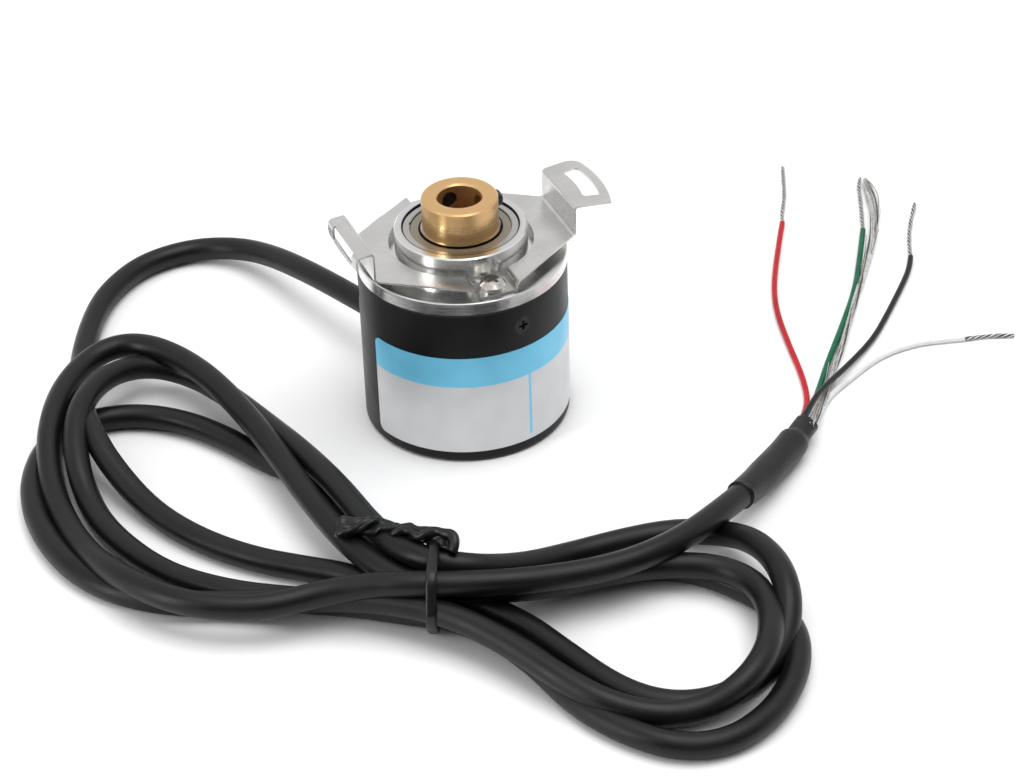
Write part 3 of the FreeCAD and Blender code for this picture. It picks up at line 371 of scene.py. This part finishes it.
# %% Points of the wires, in mm
wire_diameter = 1.1
wire_circle = 1.3
run = unit(sleeve_end - np.array(cable_route[-2]))
run_right = unit(np.cross(run, [0, 0, 1]))
run_up = np.cross(run_right, run)
wire_angles = {"red": 205, "green": 262, "black": 140, "white": 330, "braid": 40}
wire_floor = {
    "red": [(57.4, -26.7), (60.3, -18.6), (62.8, -8.1), (65.7, 2.5), (69.1, 10.6), (74.9, 20.8), (82, 32.2)],
    "green": [(61, -24), (66.1, -17.4), (74, -8), (82.9, 2.9), (89.3, 12.7), (95.6, 22.9)],
    "black": [(57.3, -29.6, 3.4), (59.6, -27.5, 3), (62.8, -25, 2.5), (69.6, -19.8, 1.2), (78.3, -13.3),
              (84.8, -6.9), (92.1, 0.7), (97.1, 6.2), (99.3, 9.8)],
    "white": [(61, -27.1), (67.2, -23.7), (76.4, -18.9), (84.4, -18), (89.1, -18.9), (94.2, -20.3)],
    "braid": [(62.4, -24.6), (66, -19.8), (69.8, -15.2), (75.8, -7.4), (82.7, 1.6), (89.4, 10.2), (96, 19.4),
              (101, 27.8), (104.2, 35.4), (105.6, 40.4)],
}
bare_floor = {
    "red": [(83.9, 36.1), (86.9, 40.9), (89.4, 46), (92.4, 52.5)],
    "green": [(98.1, 28), (101.1, 34.2), (103.2, 39), (105, 41.6)],
    "black": [(102.2, 15.7), (105.7, 21.5), (110.3, 27.8)],
    "white": [(97.2, -20.9), (100.4, -21.8), (103.4, -23.2)],
}


def wire_start(name):
    """Place of a wire in the end of the jacket: its angle on a small circle round the middle."""
    angle = np.radians(wire_angles[name])
    return sleeve_end + 0.3 * run + wire_circle * (np.cos(angle) * run_right + np.sin(angle) * run_up)


def wire_route(name, diameter):
    """Start in the sleeve, a point on the way down, and then the points on the table."""
    start = wire_start(name)
    floor = [point if len(point) == 3 else (*point, diameter / 2) for point in wire_floor[name]]
    drop = start + 0.35 * (np.array(floor[0]) - start)
    drop[2] = (start[2] + floor[0][2]) / 2
    return [tuple(start), tuple(drop)] + floor


print("wires start round", sleeve_end, "mm")

# %% [markdown]
# ## Cores and bare ends
# A bare end is a rope of six fine tinned strands: every strand is a tube whose middle winds round the
# end's line, once in `lay` metres. Strands with painted shade, standing for the ones in shadow, take
# turns with light ones in the rope.

# %% Cores and bare ends
lay = 0.0042
strand_radius = 0.13
wires, bare_grids = {}, []
for name in ("red", "green", "black", "white"):
    wires[name] = add_cord(name + "_core", wire_route(name, wire_diameter), wire_diameter)
    last = wire_floor[name][-1]
    before = wire_floor[name][-2]
    inside = (last[0] - 0.15 * (last[0] - before[0]), last[1] - 0.15 * (last[1] - before[1]), 0.5)
    outside = [(last[0], last[1], 0.45)] + [(x, y, 0.42) for x, y in bare_floor[name]]
    guide = add_cord("guide", [inside] + outside, 1)
    bare_line = resample(centre_line(guide), 90)
    bpy.data.objects.remove(guide)
    _, sideways, above = line_frames(bare_line)
    turns = np.linspace(0, 2 * np.pi * lengths_along(bare_line)[-1] / lay, len(bare_line))[:, None]
    spread = 0.27 + 0.03 * np.sin(turns * 0.7)
    for strand_number in range(6):
        phase = turns + strand_number * np.pi / 3
        strand = bare_line + spread * MM * (np.cos(phase) * sideways + np.sin(phase) * above)
        bare_grids.append(tube_grid(strand, strand_radius * MM, 7))
# Painted shade of each strand: near 1 darkens it as if it lay in shadow.
painted_strand_shades = [0, 0.9, 0.1, 0.75, 0, 0.95] * 4
bare_ends = add_tubes("bare_wire_ends", bare_grids, painted_strand_shades)
print("bare ends:", len(bare_ends.data.polygons), "faces")

# %% [markdown]
# ## The screen
# The screen of the cable is a bunch of fine tinned wires, combed out of the braid and rolled
# between the fingers. Its fine wires run side by side, wander a little and cross, so each one
# follows the bunch's line at a distance that drifts along it by a few slow waves. None of them goes
# below the table.

# %% Screen wires
braid_cord = add_cord("screen_core", wire_route("braid", 1.3), 0.9)
braid_line = resample(centre_line(braid_cord), 160)
_, sideways, above = line_frames(braid_line)
share = np.linspace(0, 1, len(braid_line))[:, None]
fine_radius = 0.12
stray_radius = 0.05
draws = np.random.default_rng(7)
screen_grids = []
bunch = 1.35 - 0.6 * np.sin(np.pi * share) + 0.5 * np.exp(-((share - 0.93) / 0.04) ** 2)
bunch = bunch * np.clip((1.03 - share) / 0.06, 0.3, 1)
for fine_wire in range(38):
    place = draws.uniform(0, 2 * np.pi)
    waves = draws.uniform(2, 6)
    width = bunch * draws.uniform(0.45, 1.05) * (0.75 + 0.25 * np.sin(share * waves * 3 + place * 2))
    phase = place + share * (3 + waves)
    strand = braid_line + width * MM * (np.cos(phase) * sideways + 0.7 * np.sin(phase) * above)
    strand[:, 2] = np.maximum(strand[:, 2], fine_radius * MM)
    screen_grids.append(tube_grid(strand, fine_radius * MM, 5))
for stray in range(14):
    first = draws.integers(4, 120)
    part = slice(first, first + draws.integers(14, 34))
    lift = np.linspace(0, 1, part.stop - first)[:len(braid_line) - first, None] ** 2
    way = draws.uniform(-1, 1)
    strand = braid_line[part] + (0.6 + 1.1 * lift) * MM * (way * sideways[part] + 0.6 * above[part])
    strand[:, 2] = np.maximum(strand[:, 2], stray_radius * MM)
    screen_grids.append(tube_grid(strand, stray_radius * MM, 4))
# Painted shade of each fine wire: some are darkened as if in shadow between the others.
painted_screen_shades = draws.choice([0, 0.1, 0.4, 0.9], len(screen_grids))
screen = add_tubes("screen_wires", screen_grids, painted_screen_shades)
print("screen:", len(screen.data.polygons), "faces")

# %% [markdown]
# ## Helpers for node trees
# Materials are trees of nodes. These helpers add a node, join two sockets, and make the few kinds of
# node that are used most: arithmetic, a blend of two colours and a noise.

# %% Helpers for node trees
def tone(red, green, blue):
    """Colour as a picture shows it, 0 to 255, turned into the linear values that shaders use."""
    shown = np.array([red, green, blue]) / 255
    linear = np.where(shown <= 0.04045, shown / 12.92, ((shown + 0.055) / 1.055) ** 2.4)
    return (*linear.tolist(), 1.0)


def add_node(tree, kind, **settings):
    node = tree.nodes.new("ShaderNode" + kind)
    for name, value in settings.items():
        setattr(node, name, value)
    return node


def connect(tree, source, target):
    tree.links.new(target, source)


def calculate(tree, operation, first, second):
    """Math node on two inputs, each of them a socket or a number."""
    node = add_node(tree, "Math", operation=operation)
    for socket, value in zip(node.inputs, (first, second)):
        if isinstance(value, (int, float)):
            socket.default_value = value
        else:
            connect(tree, value, socket)
    return node.outputs[0]


def blend_colours(tree, share, first, second):
    node = add_node(tree, "Mix", data_type="RGBA")
    connect(tree, share, node.inputs["Factor"])
    for socket, value in ((node.inputs[6], first), (node.inputs[7], second)):
        if isinstance(value, tuple):
            socket.default_value = value
        else:
            connect(tree, value, socket)
    return node.outputs[2]


def noise(tree, vector, scale, detail=3.0):
    node = add_node(tree, "TexNoise")
    node.inputs["Detail"].default_value = detail
    connect(tree, vector, node.inputs["Vector"])
    if isinstance(scale, (int, float)):
        node.inputs["Scale"].default_value = scale
    else:
        connect(tree, scale, node.inputs["Scale"])
    return node.outputs["Fac"]


print("brass as shader values:", [round(value, 3) for value in tone(230, 190, 136)])

# %% [markdown]
# ## Finishes: patterns that several materials share
# No surface is one flat colour. Two node groups hold the patterns that repeat. Both read
# the object's own coordinates in metres, so a grain keeps its size on every piece:
# - *Mottled surface* blends two colours by a slow noise, lets the roughness follow it, and adds a
#   fine grain as a height for a Bump node.
# - *Turned surface* does the same with noise that changes with the distance from the shaft's axis
#   and with the height, but not round the axis: the fine grooves that a lathe leaves.

# %% Mottled and turned surfaces
def new_group(name, outputs):
    """Node group with the inputs that every surface pattern has."""
    tree = bpy.data.node_groups.new(name, "ShaderNodeTree")
    for label, kind in (("Colour", "NodeSocketColor"), ("Second Colour", "NodeSocketColor"),
                        ("Scale", "NodeSocketFloat"), ("Grain Scale", "NodeSocketFloat"),
                        ("Amount", "NodeSocketFloat"), ("Roughness", "NodeSocketFloat"),
                        ("Roughness Change", "NodeSocketFloat")):
        tree.interface.new_socket(name=label, in_out="INPUT", socket_type=kind)
    for label, kind in outputs:
        tree.interface.new_socket(name=label, in_out="OUTPUT", socket_type=kind)
    return tree, tree.nodes.new("NodeGroupInput"), tree.nodes.new("NodeGroupOutput")


def finish_group(tree, inside, result, slow, fine):
    """Colour, roughness and height from a slow pattern and a fine one."""
    share = add_node(tree, "MapRange")
    for socket, value in ((share.inputs["From Min"], 0.35), (share.inputs["From Max"], 0.65)):
        socket.default_value = value
    connect(tree, slow, share.inputs["Value"])
    amount = calculate(tree, "MULTIPLY", share.outputs[0], inside.outputs["Amount"])
    colour = blend_colours(tree, amount, inside.outputs["Colour"], inside.outputs["Second Colour"])
    offset = calculate(tree, "SUBTRACT", share.outputs[0], 0.5)
    change = calculate(tree, "MULTIPLY", offset, inside.outputs["Roughness Change"])
    connect(tree, colour, result.inputs["Colour"])
    connect(tree, calculate(tree, "ADD", inside.outputs["Roughness"], change), result.inputs["Roughness"])
    connect(tree, fine, result.inputs["Height"])


surface_outputs = (("Colour", "NodeSocketColor"), ("Roughness", "NodeSocketFloat"),
                   ("Height", "NodeSocketFloat"))
mottled, inside, result = new_group("Mottled surface", surface_outputs)
place = add_node(mottled, "TexCoord").outputs["Object"]
finish_group(mottled, inside, result, noise(mottled, place, inside.outputs["Scale"]),
             noise(mottled, place, inside.outputs["Grain Scale"], 2.0))

turned, inside, result = new_group("Turned surface", surface_outputs)
parts = add_node(turned, "SeparateXYZ")
connect(turned, add_node(turned, "TexCoord").outputs["Object"], parts.inputs[0])
squared = calculate(turned, "ADD", calculate(turned, "MULTIPLY", parts.outputs["X"], parts.outputs["X"]),
                    calculate(turned, "MULTIPLY", parts.outputs["Y"], parts.outputs["Y"]))
rings = add_node(turned, "CombineXYZ")
connect(turned, calculate(turned, "SQRT", squared, 0.0), rings.inputs["X"])
connect(turned, parts.outputs["Z"], rings.inputs["Z"])
finish_group(turned, inside, result, noise(turned, rings.outputs[0], inside.outputs["Scale"]),
             noise(turned, rings.outputs[0], inside.outputs["Grain Scale"], 2.0))

print("surface groups:", mottled.name, "and", turned.name)

# %% [markdown]
# ## Worn edges and painted glints
# A third group lightens edges. The lightening is partly wear and partly a painted highlight, the glint
# that an edge catches from the light. A Bevel node gives the normal that a rounded edge would have.
# Where it differs from the true one there is an edge, and a noise breaks the lightened line into patches.

# %% Worn edges and painted glints
wear_and_glint_edges = bpy.data.node_groups.new("Worn and glinting edges", "ShaderNodeTree")
for label, kind in (("Colour", "NodeSocketColor"), ("Worn Colour", "NodeSocketColor"),
                    ("Width", "NodeSocketFloat"), ("Amount", "NodeSocketFloat")):
    wear_and_glint_edges.interface.new_socket(name=label, in_out="INPUT", socket_type=kind)
wear_and_glint_edges.interface.new_socket(name="Colour", in_out="OUTPUT", socket_type="NodeSocketColor")
inside, result = wear_and_glint_edges.nodes.new("NodeGroupInput"), wear_and_glint_edges.nodes.new("NodeGroupOutput")
rounded = add_node(wear_and_glint_edges, "Bevel", samples=4)
connect(wear_and_glint_edges, inside.outputs["Width"], rounded.inputs["Radius"])
agree = add_node(wear_and_glint_edges, "VectorMath", operation="DOT_PRODUCT")
connect(wear_and_glint_edges, rounded.outputs[0], agree.inputs[0])
connect(wear_and_glint_edges, add_node(wear_and_glint_edges, "NewGeometry").outputs["Normal"], agree.inputs[1])
edge = add_node(wear_and_glint_edges, "MapRange")
for socket, value in ((edge.inputs["From Min"], 0.99), (edge.inputs["From Max"], 0.88)):
    socket.default_value = value
connect(wear_and_glint_edges, agree.outputs["Value"], edge.inputs["Value"])
patches = noise(wear_and_glint_edges, add_node(wear_and_glint_edges, "TexCoord").outputs["Object"], 900.0)
patchy = calculate(wear_and_glint_edges, "MULTIPLY", edge.outputs[0], patches)
mask = calculate(wear_and_glint_edges, "MULTIPLY", patchy, inside.outputs["Amount"])
connect(wear_and_glint_edges, blend_colours(wear_and_glint_edges, mask, inside.outputs["Colour"], inside.outputs["Worn Colour"]),
        result.inputs["Colour"])
print("node groups:", [group.name for group in bpy.data.node_groups])

# %% [markdown]
# ## One function for most finishes
# `finish` makes a material from a pattern group: two colours, the scale of the slow pattern and of
# the grain in cycles per metre, the bump's depth, and the numbers that the shader takes as they are.
# `warp` is the depth of a slow wave in a sheet, which bends what it reflects.

# %% A function that makes a material
def finish(name, colour, second, pattern=mottled, scale=150.0, grain=4000.0, amount=0.6, rough=0.5,
           change=0.12, bump=0.00002, metal=0.0, wear_and_glint=None, width=0.0004, warp=0.0, **shader_values):
    material = bpy.data.materials.new(name)
    material.use_nodes = True
    tree = material.node_tree
    shader = tree.nodes["Principled BSDF"]
    group = add_node(tree, "Group", node_tree=pattern)
    for label, value in (("Colour", tone(*colour)), ("Second Colour", tone(*second)), ("Scale", scale),
                         ("Grain Scale", grain), ("Amount", amount), ("Roughness", rough),
                         ("Roughness Change", change)):
        group.inputs[label].default_value = value
    colour_out = group.outputs["Colour"]
    # Lightened edges: partly wear, partly a painted highlight where an edge catches the light.
    if wear_and_glint:
        edges = add_node(tree, "Group", node_tree=wear_and_glint_edges)
        for label, value in (("Worn Colour", tone(*wear_and_glint)), ("Width", width), ("Amount", 0.8)):
            edges.inputs[label].default_value = value
        connect(tree, colour_out, edges.inputs["Colour"])
        colour_out = edges.outputs["Colour"]
    connect(tree, colour_out, shader.inputs["Base Color"])
    connect(tree, group.outputs["Roughness"], shader.inputs["Roughness"])
    bumps = add_node(tree, "Bump")
    bumps.inputs["Distance"].default_value = bump
    connect(tree, group.outputs["Height"], bumps.inputs["Height"])
    if warp:
        waves = add_node(tree, "Bump")
        waves.inputs["Distance"].default_value = warp
        slow_noise = noise(tree, add_node(tree, "TexCoord").outputs["Object"], 55.0, 1.0)
        connect(tree, slow_noise, waves.inputs["Height"])
        connect(tree, waves.outputs["Normal"], bumps.inputs["Normal"])
    connect(tree, bumps.outputs["Normal"], shader.inputs["Normal"])
    shader.inputs["Metallic"].default_value = metal
    for label, value in shader_values.items():
        shader.inputs[label.replace("_", " ")].default_value = value
    return material


print("finish makes a material from one of", [mottled.name, turned.name])

# %% [markdown]
# ## The materials
# One finish for each slot of the imported solids. Colours are the ones that a picture shows, 0 to 255.

# %% Materials
# The edge colours given after the base colours lighten edges: partly wear, partly a painted highlight.
finishes = {
    "cover_black": finish("cover_black", (13, 12, 14), (20, 19, 21), scale=90, grain=9000, rough=0.4,
                          bump=0.00001, wear_and_glint=(90, 89, 92), width=0.0003, Specular_IOR_Level=0.22),
    "flange_aluminium": finish("flange_aluminium", (240, 240, 238), (196, 196, 196), turned, 700, 9000, 0.5,
                               0.2, 0.1, 0.00001, 1.0, wear_and_glint=(250, 250, 250), width=0.0002),
    "black_screw": finish("black_screw", (9, 9, 10), (18, 18, 20), scale=700, rough=0.3,
                          wear_and_glint=(96, 96, 98), width=0.0001, Specular_IOR_Level=0.4),
    "brass": finish("brass", (230, 190, 136), (200, 154, 98), turned, 500, 12000, 0.5, 0.3, 0.1, 0.000012,
                    0.86, wear_and_glint=(240, 206, 160), width=0.0002),
    "grub_black": finish("grub_black", (22, 22, 24), (40, 40, 42), scale=1200, rough=0.35,
                         wear_and_glint=(86, 86, 88), width=0.0001),
    "spring_steel": finish("spring_steel", (176, 176, 176), (138, 138, 140), turned, 900, 9000, 0.5, 0.34,
                           metal=1.0),
    "turned_aluminium": finish("turned_aluminium", (214, 214, 212), (190, 190, 190), turned, 600, 9000, 0.5,
                               0.33, metal=1.0),
    "disc_metal": finish("disc_metal", (168, 170, 172), (140, 142, 146), turned, 300, 8000, 0.4, 0.25,
                         metal=1.0),
    "black_moulding": finish("black_moulding", (34, 34, 35), (46, 46, 47), scale=400, rough=0.55),
    "lamp_resin": finish("lamp_resin", (206, 200, 196), (186, 178, 172), scale=500, rough=0.2, bump=0.000004),
    "mask_glass": finish("mask_glass", (150, 160, 160), (128, 140, 142), scale=700, rough=0.15, bump=0.000003),
    "board_green": finish("board_green", (22, 92, 52), (32, 118, 66), scale=600, rough=0.4),
    "nickel_screw": finish("nickel_screw", (214, 211, 205), (176, 172, 164), scale=500, grain=6000, rough=0.16,
                           metal=1.0, wear_and_glint=(236, 234, 228), width=0.0002, warp=0.0006),
    "plate_steel": finish("plate_steel", (222, 221, 219), (190, 188, 188), scale=160, grain=14000, amount=0.5,
                          rough=0.27, bump=0.000008, metal=1.0, wear_and_glint=(250, 250, 248), width=0.0002,
                          warp=0.0012),
    "black_rubber": finish("black_rubber", (36, 36, 37), (50, 50, 50), scale=500, rough=0.7),
    "core_grey": finish("core_grey", (150, 150, 152), (120, 120, 122), scale=500, rough=0.45),
    "jacket_black": finish("jacket_black", (13, 13, 14), (22, 22, 24), scale=110, grain=5000, rough=0.4,
                           bump=0.00003, Specular_IOR_Level=0.28),
    "tie_black": finish("tie_black", (12, 12, 13), (26, 26, 28), scale=500, grain=3000, rough=0.34,
                        bump=0.00004, Specular_IOR_Level=0.35),
    "shrink_black": finish("shrink_black", (16, 16, 17), (28, 28, 30), scale=260, grain=2500, rough=0.42,
                           bump=0.00005, Specular_IOR_Level=0.32),
    "tinned_strand": finish("tinned_strand", (240, 239, 236), (176, 174, 170), scale=900, rough=0.3,
                            metal=0.75),
    "screen_braid": finish("screen_braid", (244, 243, 240), (180, 178, 174), scale=900, rough=0.32,
                           metal=0.75),
    "core_red": finish("core_red", (190, 18, 34), (160, 10, 26), scale=350, rough=0.34,
                       Specular_IOR_Level=0.25),
    "core_green": finish("core_green", (6, 100, 70), (4, 80, 54), scale=350, rough=0.34,
                         Specular_IOR_Level=0.25),
    "core_black": finish("core_black", (12, 12, 13), (24, 24, 26), scale=350, rough=0.36,
                         Specular_IOR_Level=0.3),
    "core_white": finish("core_white", (236, 236, 236), (214, 214, 214), scale=350, rough=0.34),
    "bearing_steel": finish("bearing_steel", (196, 194, 190), (166, 164, 160), turned, 1100, 12000, 0.5, 0.22,
                            metal=1.0, wear_and_glint=(236, 236, 234), width=0.0002),
    "ball_steel": finish("ball_steel", (206, 206, 206), (188, 188, 190), scale=900, rough=0.1, bump=0.000002,
                         metal=1.0),
    "cage_plastic": finish("cage_plastic", (120, 84, 50), (96, 66, 40), scale=500, rough=0.5),
    "shield_steel": finish("shield_steel", (168, 160, 146), (134, 127, 114), turned, 900, 9000, 0.5, 0.46,
                           metal=1.0),
}
print(len(finishes), "finishes")

# %% [markdown]
# ## The label
# The label is bare: a sky-blue band above silver foil, and one thin blue line upwards where the two
# ends of its frame meet. Bands are comparisons: 1 above a height and 0 below it. The line is where
# the angle round the axis, from the arc tangent of y and x, is close to one value.

# %% Label foil
def between(tree, value, low, high):
    """1 where a value lies between two limits."""
    above = calculate(tree, "GREATER_THAN", value, low)
    return calculate(tree, "MULTIPLY", above, calculate(tree, "LESS_THAN", value, high))


foil = finish("label_foil", (214, 215, 217), (203, 204, 207), scale=220, grain=5000, amount=0.3,
              rough=0.34, bump=0.000006, metal=0.35)
tree = foil.node_tree
shader = tree.nodes["Principled BSDF"]
silver = shader.inputs["Base Color"].links[0].from_socket
parts = add_node(tree, "SeparateXYZ")
connect(tree, add_node(tree, "TexCoord").outputs["Object"], parts.inputs[0])
turn_round = calculate(tree, "ARCTAN2", parts.outputs["Y"], parts.outputs["X"])
band_bottom = 0.0164
label_over = 0.03
band_mask = between(tree, parts.outputs["Z"], band_bottom, label_over)
line_mask = between(tree, turn_round, float(np.radians(-74.9)), float(np.radians(-73.3)))
line_mask = calculate(tree, "MULTIPLY", line_mask, between(tree, parts.outputs["Z"], 0.0034, 0.0165))
cloud = noise(tree, add_node(tree, "TexCoord").outputs["Object"], 300.0)
sky_blue = blend_colours(tree, cloud, tone(128, 212, 243), tone(108, 198, 236))
painted = blend_colours(tree, calculate(tree, "MAXIMUM", band_mask, line_mask), silver, sky_blue)
connect(tree, painted, shader.inputs["Base Color"])
finishes["label_foil"] = foil
print("label band starts at", band_bottom, "m")

# %% [markdown]
# ## Seams round the bearing
# Where one ring sits in another the photograph shows a thin dark line of shadow and old grease.
# The solids touch there, so the line is painted: dark where the distance from the axis lies between
# two radii.

# %% Dark seams
def darken_rings(material, bands, lowest=0.0):
    """Darkens a material between pairs of radii, in mm, above a height in mm."""
    tree = material.node_tree
    shader = tree.nodes["Principled BSDF"]
    parts = add_node(tree, "SeparateXYZ")
    connect(tree, add_node(tree, "TexCoord").outputs["Object"], parts.inputs[0])
    distance = add_node(tree, "VectorMath", operation="LENGTH")
    flat_place = add_node(tree, "CombineXYZ")
    connect(tree, parts.outputs["X"], flat_place.inputs["X"])
    connect(tree, parts.outputs["Y"], flat_place.inputs["Y"])
    connect(tree, flat_place.outputs[0], distance.inputs[0])
    mask = None
    for inner, outer in bands:
        ring = between(tree, distance.outputs["Value"], inner * MM, outer * MM)
        mask = ring if mask is None else calculate(tree, "MAXIMUM", mask, ring)
    high_enough = calculate(tree, "GREATER_THAN", parts.outputs["Z"], lowest * MM)
    mask = calculate(tree, "MULTIPLY", mask, high_enough)
    before = shader.inputs["Base Color"].links[0].from_socket
    connect(tree, blend_colours(tree, mask, before, tone(46, 42, 38)), shader.inputs["Base Color"])


darken_rings(finishes["bearing_steel"], [(10.34, 10.6), (7.2, 7.42)], 38.2)
darken_rings(finishes["flange_aluminium"], [(10.4, 10.66)], 38.2)
darken_rings(finishes["shield_steel"], [(9.02, 9.5), (7.3, 7.62)], 38)
darken_rings(finishes["spring_steel"], [(9.05, 9.14)], 38)
print("dark seams in four materials")

# %% [markdown]
# ## Painted shade on strands
# Bare strands look striped because some catch the light and the next ones lie in shadow. That shade
# is painted: each strand carries its own painted shade, and the two strand materials darken by it.

# %% Painted shade of each strand
for name in ("tinned_strand", "screen_braid"):
    tree = finishes[name].node_tree
    colour = tree.nodes["Principled BSDF"].inputs["Base Color"]
    painted_shade = add_node(tree, "Attribute", attribute_name="painted_strand_shade").outputs["Fac"]
    # The dark colour here is painted shade.
    connect(tree, blend_colours(tree, painted_shade, colour.links[0].from_socket, tone(34, 33, 32)), colour)
print("strand shades:", sorted(set(painted_strand_shades)))

# %% [markdown]
# ## Who wears what
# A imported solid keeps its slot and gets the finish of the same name. Each soft piece names its slot
# and rides on the housing, because the cable and its tie stay put while the shaft turns.

# %% Put the finishes on the solids and the soft pieces
for name, solid in nodes.items():
    slot_name = solid.data.materials[0].name.split(".")[0]
    solid.data.materials[0] = finishes[slot_name]
soft_slots = {cable: "jacket_black", sleeve: "shrink_black", band: "tie_black", twisted_ends: "tie_black",
              bare_ends: "tinned_strand", screen: "screen_braid", braid_cord: "screen_braid"}
for name, wire in wires.items():
    soft_slots[wire] = "core_" + name
for piece, slot_name in soft_slots.items():
    piece.data.materials.append(finishes[slot_name])
    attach(piece, "housing")
print("finished pieces:", len(nodes) + len(soft_slots))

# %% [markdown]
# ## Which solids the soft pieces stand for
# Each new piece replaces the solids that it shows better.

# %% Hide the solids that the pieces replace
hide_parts("cable_lead", "cable_hank", "cable_tail")
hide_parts("heat_shrink")
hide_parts("cable_tie")
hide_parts("bare_ends")
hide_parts("shield_braid")
for name, wire in wires.items():
    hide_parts("wire_" + name)

for name, wire in wires.items():
    length = lengths_along(centre_line(wire))[-1]
print("cords:", 2 + len(wires))

# %% [markdown]
# ## Floor, lights and background
# The photograph has a white ground, light from everywhere and a soft shadow. The world is a pale
# dome, bright overhead and at the sides but dark in front, where the photographer stands, so the
# metal has light and dark to reflect. A large panel above gives the shadow its side, and a narrow
# one at the left draws the grey band down the cover. Rays from the camera see plain white.

# %% Floor and studio light
floor_height = -0.0001
floor_corners = [(x, y, floor_height) for x, y in ((-3, -3), (3, -3), (3, 3), (-3, 3))]
floor = add_mesh("floor", floor_corners, [[0, 1, 2, 3]])
floor.data.materials.append(finish("floor_paper", (250, 250, 250), (247, 247, 247), scale=20, rough=0.8))

world = bpy.data.worlds.new("studio")
bpy.context.scene.world = world
world.use_nodes = True
tree = world.node_tree
dome = tree.nodes["Background"]
ways = add_node(tree, "SeparateXYZ")
connect(tree, add_node(tree, "TexCoord").outputs["Generated"], ways.inputs[0])


def smooth_step(value, low, high):
    """0 below a limit, 1 above another and smooth between them."""
    step = add_node(tree, "MapRange", interpolation_type="SMOOTHSTEP")
    for socket, number in ((step.inputs["From Min"], low), (step.inputs["From Max"], high)):
        socket.default_value = number
    connect(tree, value, step.inputs["Value"])
    return step.outputs[0]


overhead = smooth_step(ways.outputs["Z"], 0.55, 0.8)
forward = calculate(tree, "ADD", calculate(tree, "MULTIPLY", ways.outputs["X"], -0.2),
                    calculate(tree, "MULTIPLY", ways.outputs["Y"], -0.98))
dark_front = smooth_step(forward, 0.05, 0.6)
sides = blend_colours(tree, dark_front, (0.8, 0.8, 0.8, 1), (0.05, 0.05, 0.055, 1))
connect(tree, blend_colours(tree, overhead, sides, (1.0, 1.0, 1.0, 1)), dome.inputs["Color"])
dome.inputs["Strength"].default_value = 0.96
white = add_node(tree, "Background")
white.inputs["Color"].default_value = (1, 1, 1, 1)
white.inputs["Strength"].default_value = 1.0
choice = add_node(tree, "MixShader")
connect(tree, add_node(tree, "LightPath").outputs["Is Camera Ray"], choice.inputs["Fac"])
connect(tree, dome.outputs[0], choice.inputs[1])
connect(tree, white.outputs[0], choice.inputs[2])
connect(tree, choice.outputs[0], tree.nodes["World Output"].inputs["Surface"])


print("dome strength:", round(dome.inputs["Strength"].default_value, 2))

# %% [markdown]
# ## Panels and the end
# Two area lights: the large one above and the narrow one at the left.

# %% Panels
def add_panel(name, place, target, width, height, power):
    """Area light at a place, turned so that it faces a target."""
    light = bpy.data.lights.new(name, "AREA")
    light.shape = "RECTANGLE"
    light.size = width
    light.size_y = height
    light.energy = power
    panel = bpy.data.objects.new(name, light)
    bpy.context.scene.collection.objects.link(panel)
    panel.location = place
    panel.rotation_mode = "QUATERNION"
    panel.rotation_quaternion = (Vector(target) - Vector(place)).to_track_quat("-Z", "Y")
    return panel


add_panel("top_panel", (0.1, -0.1, 0.9), (0, 0, 0), 0.7, 0.7, 4.8)
add_panel("left_panel", (-0.75, -0.15, 0.25), (0, 0, 0.03), 0.12, 0.6, 2.5)
bpy.context.scene.view_settings.view_transform = "Standard"
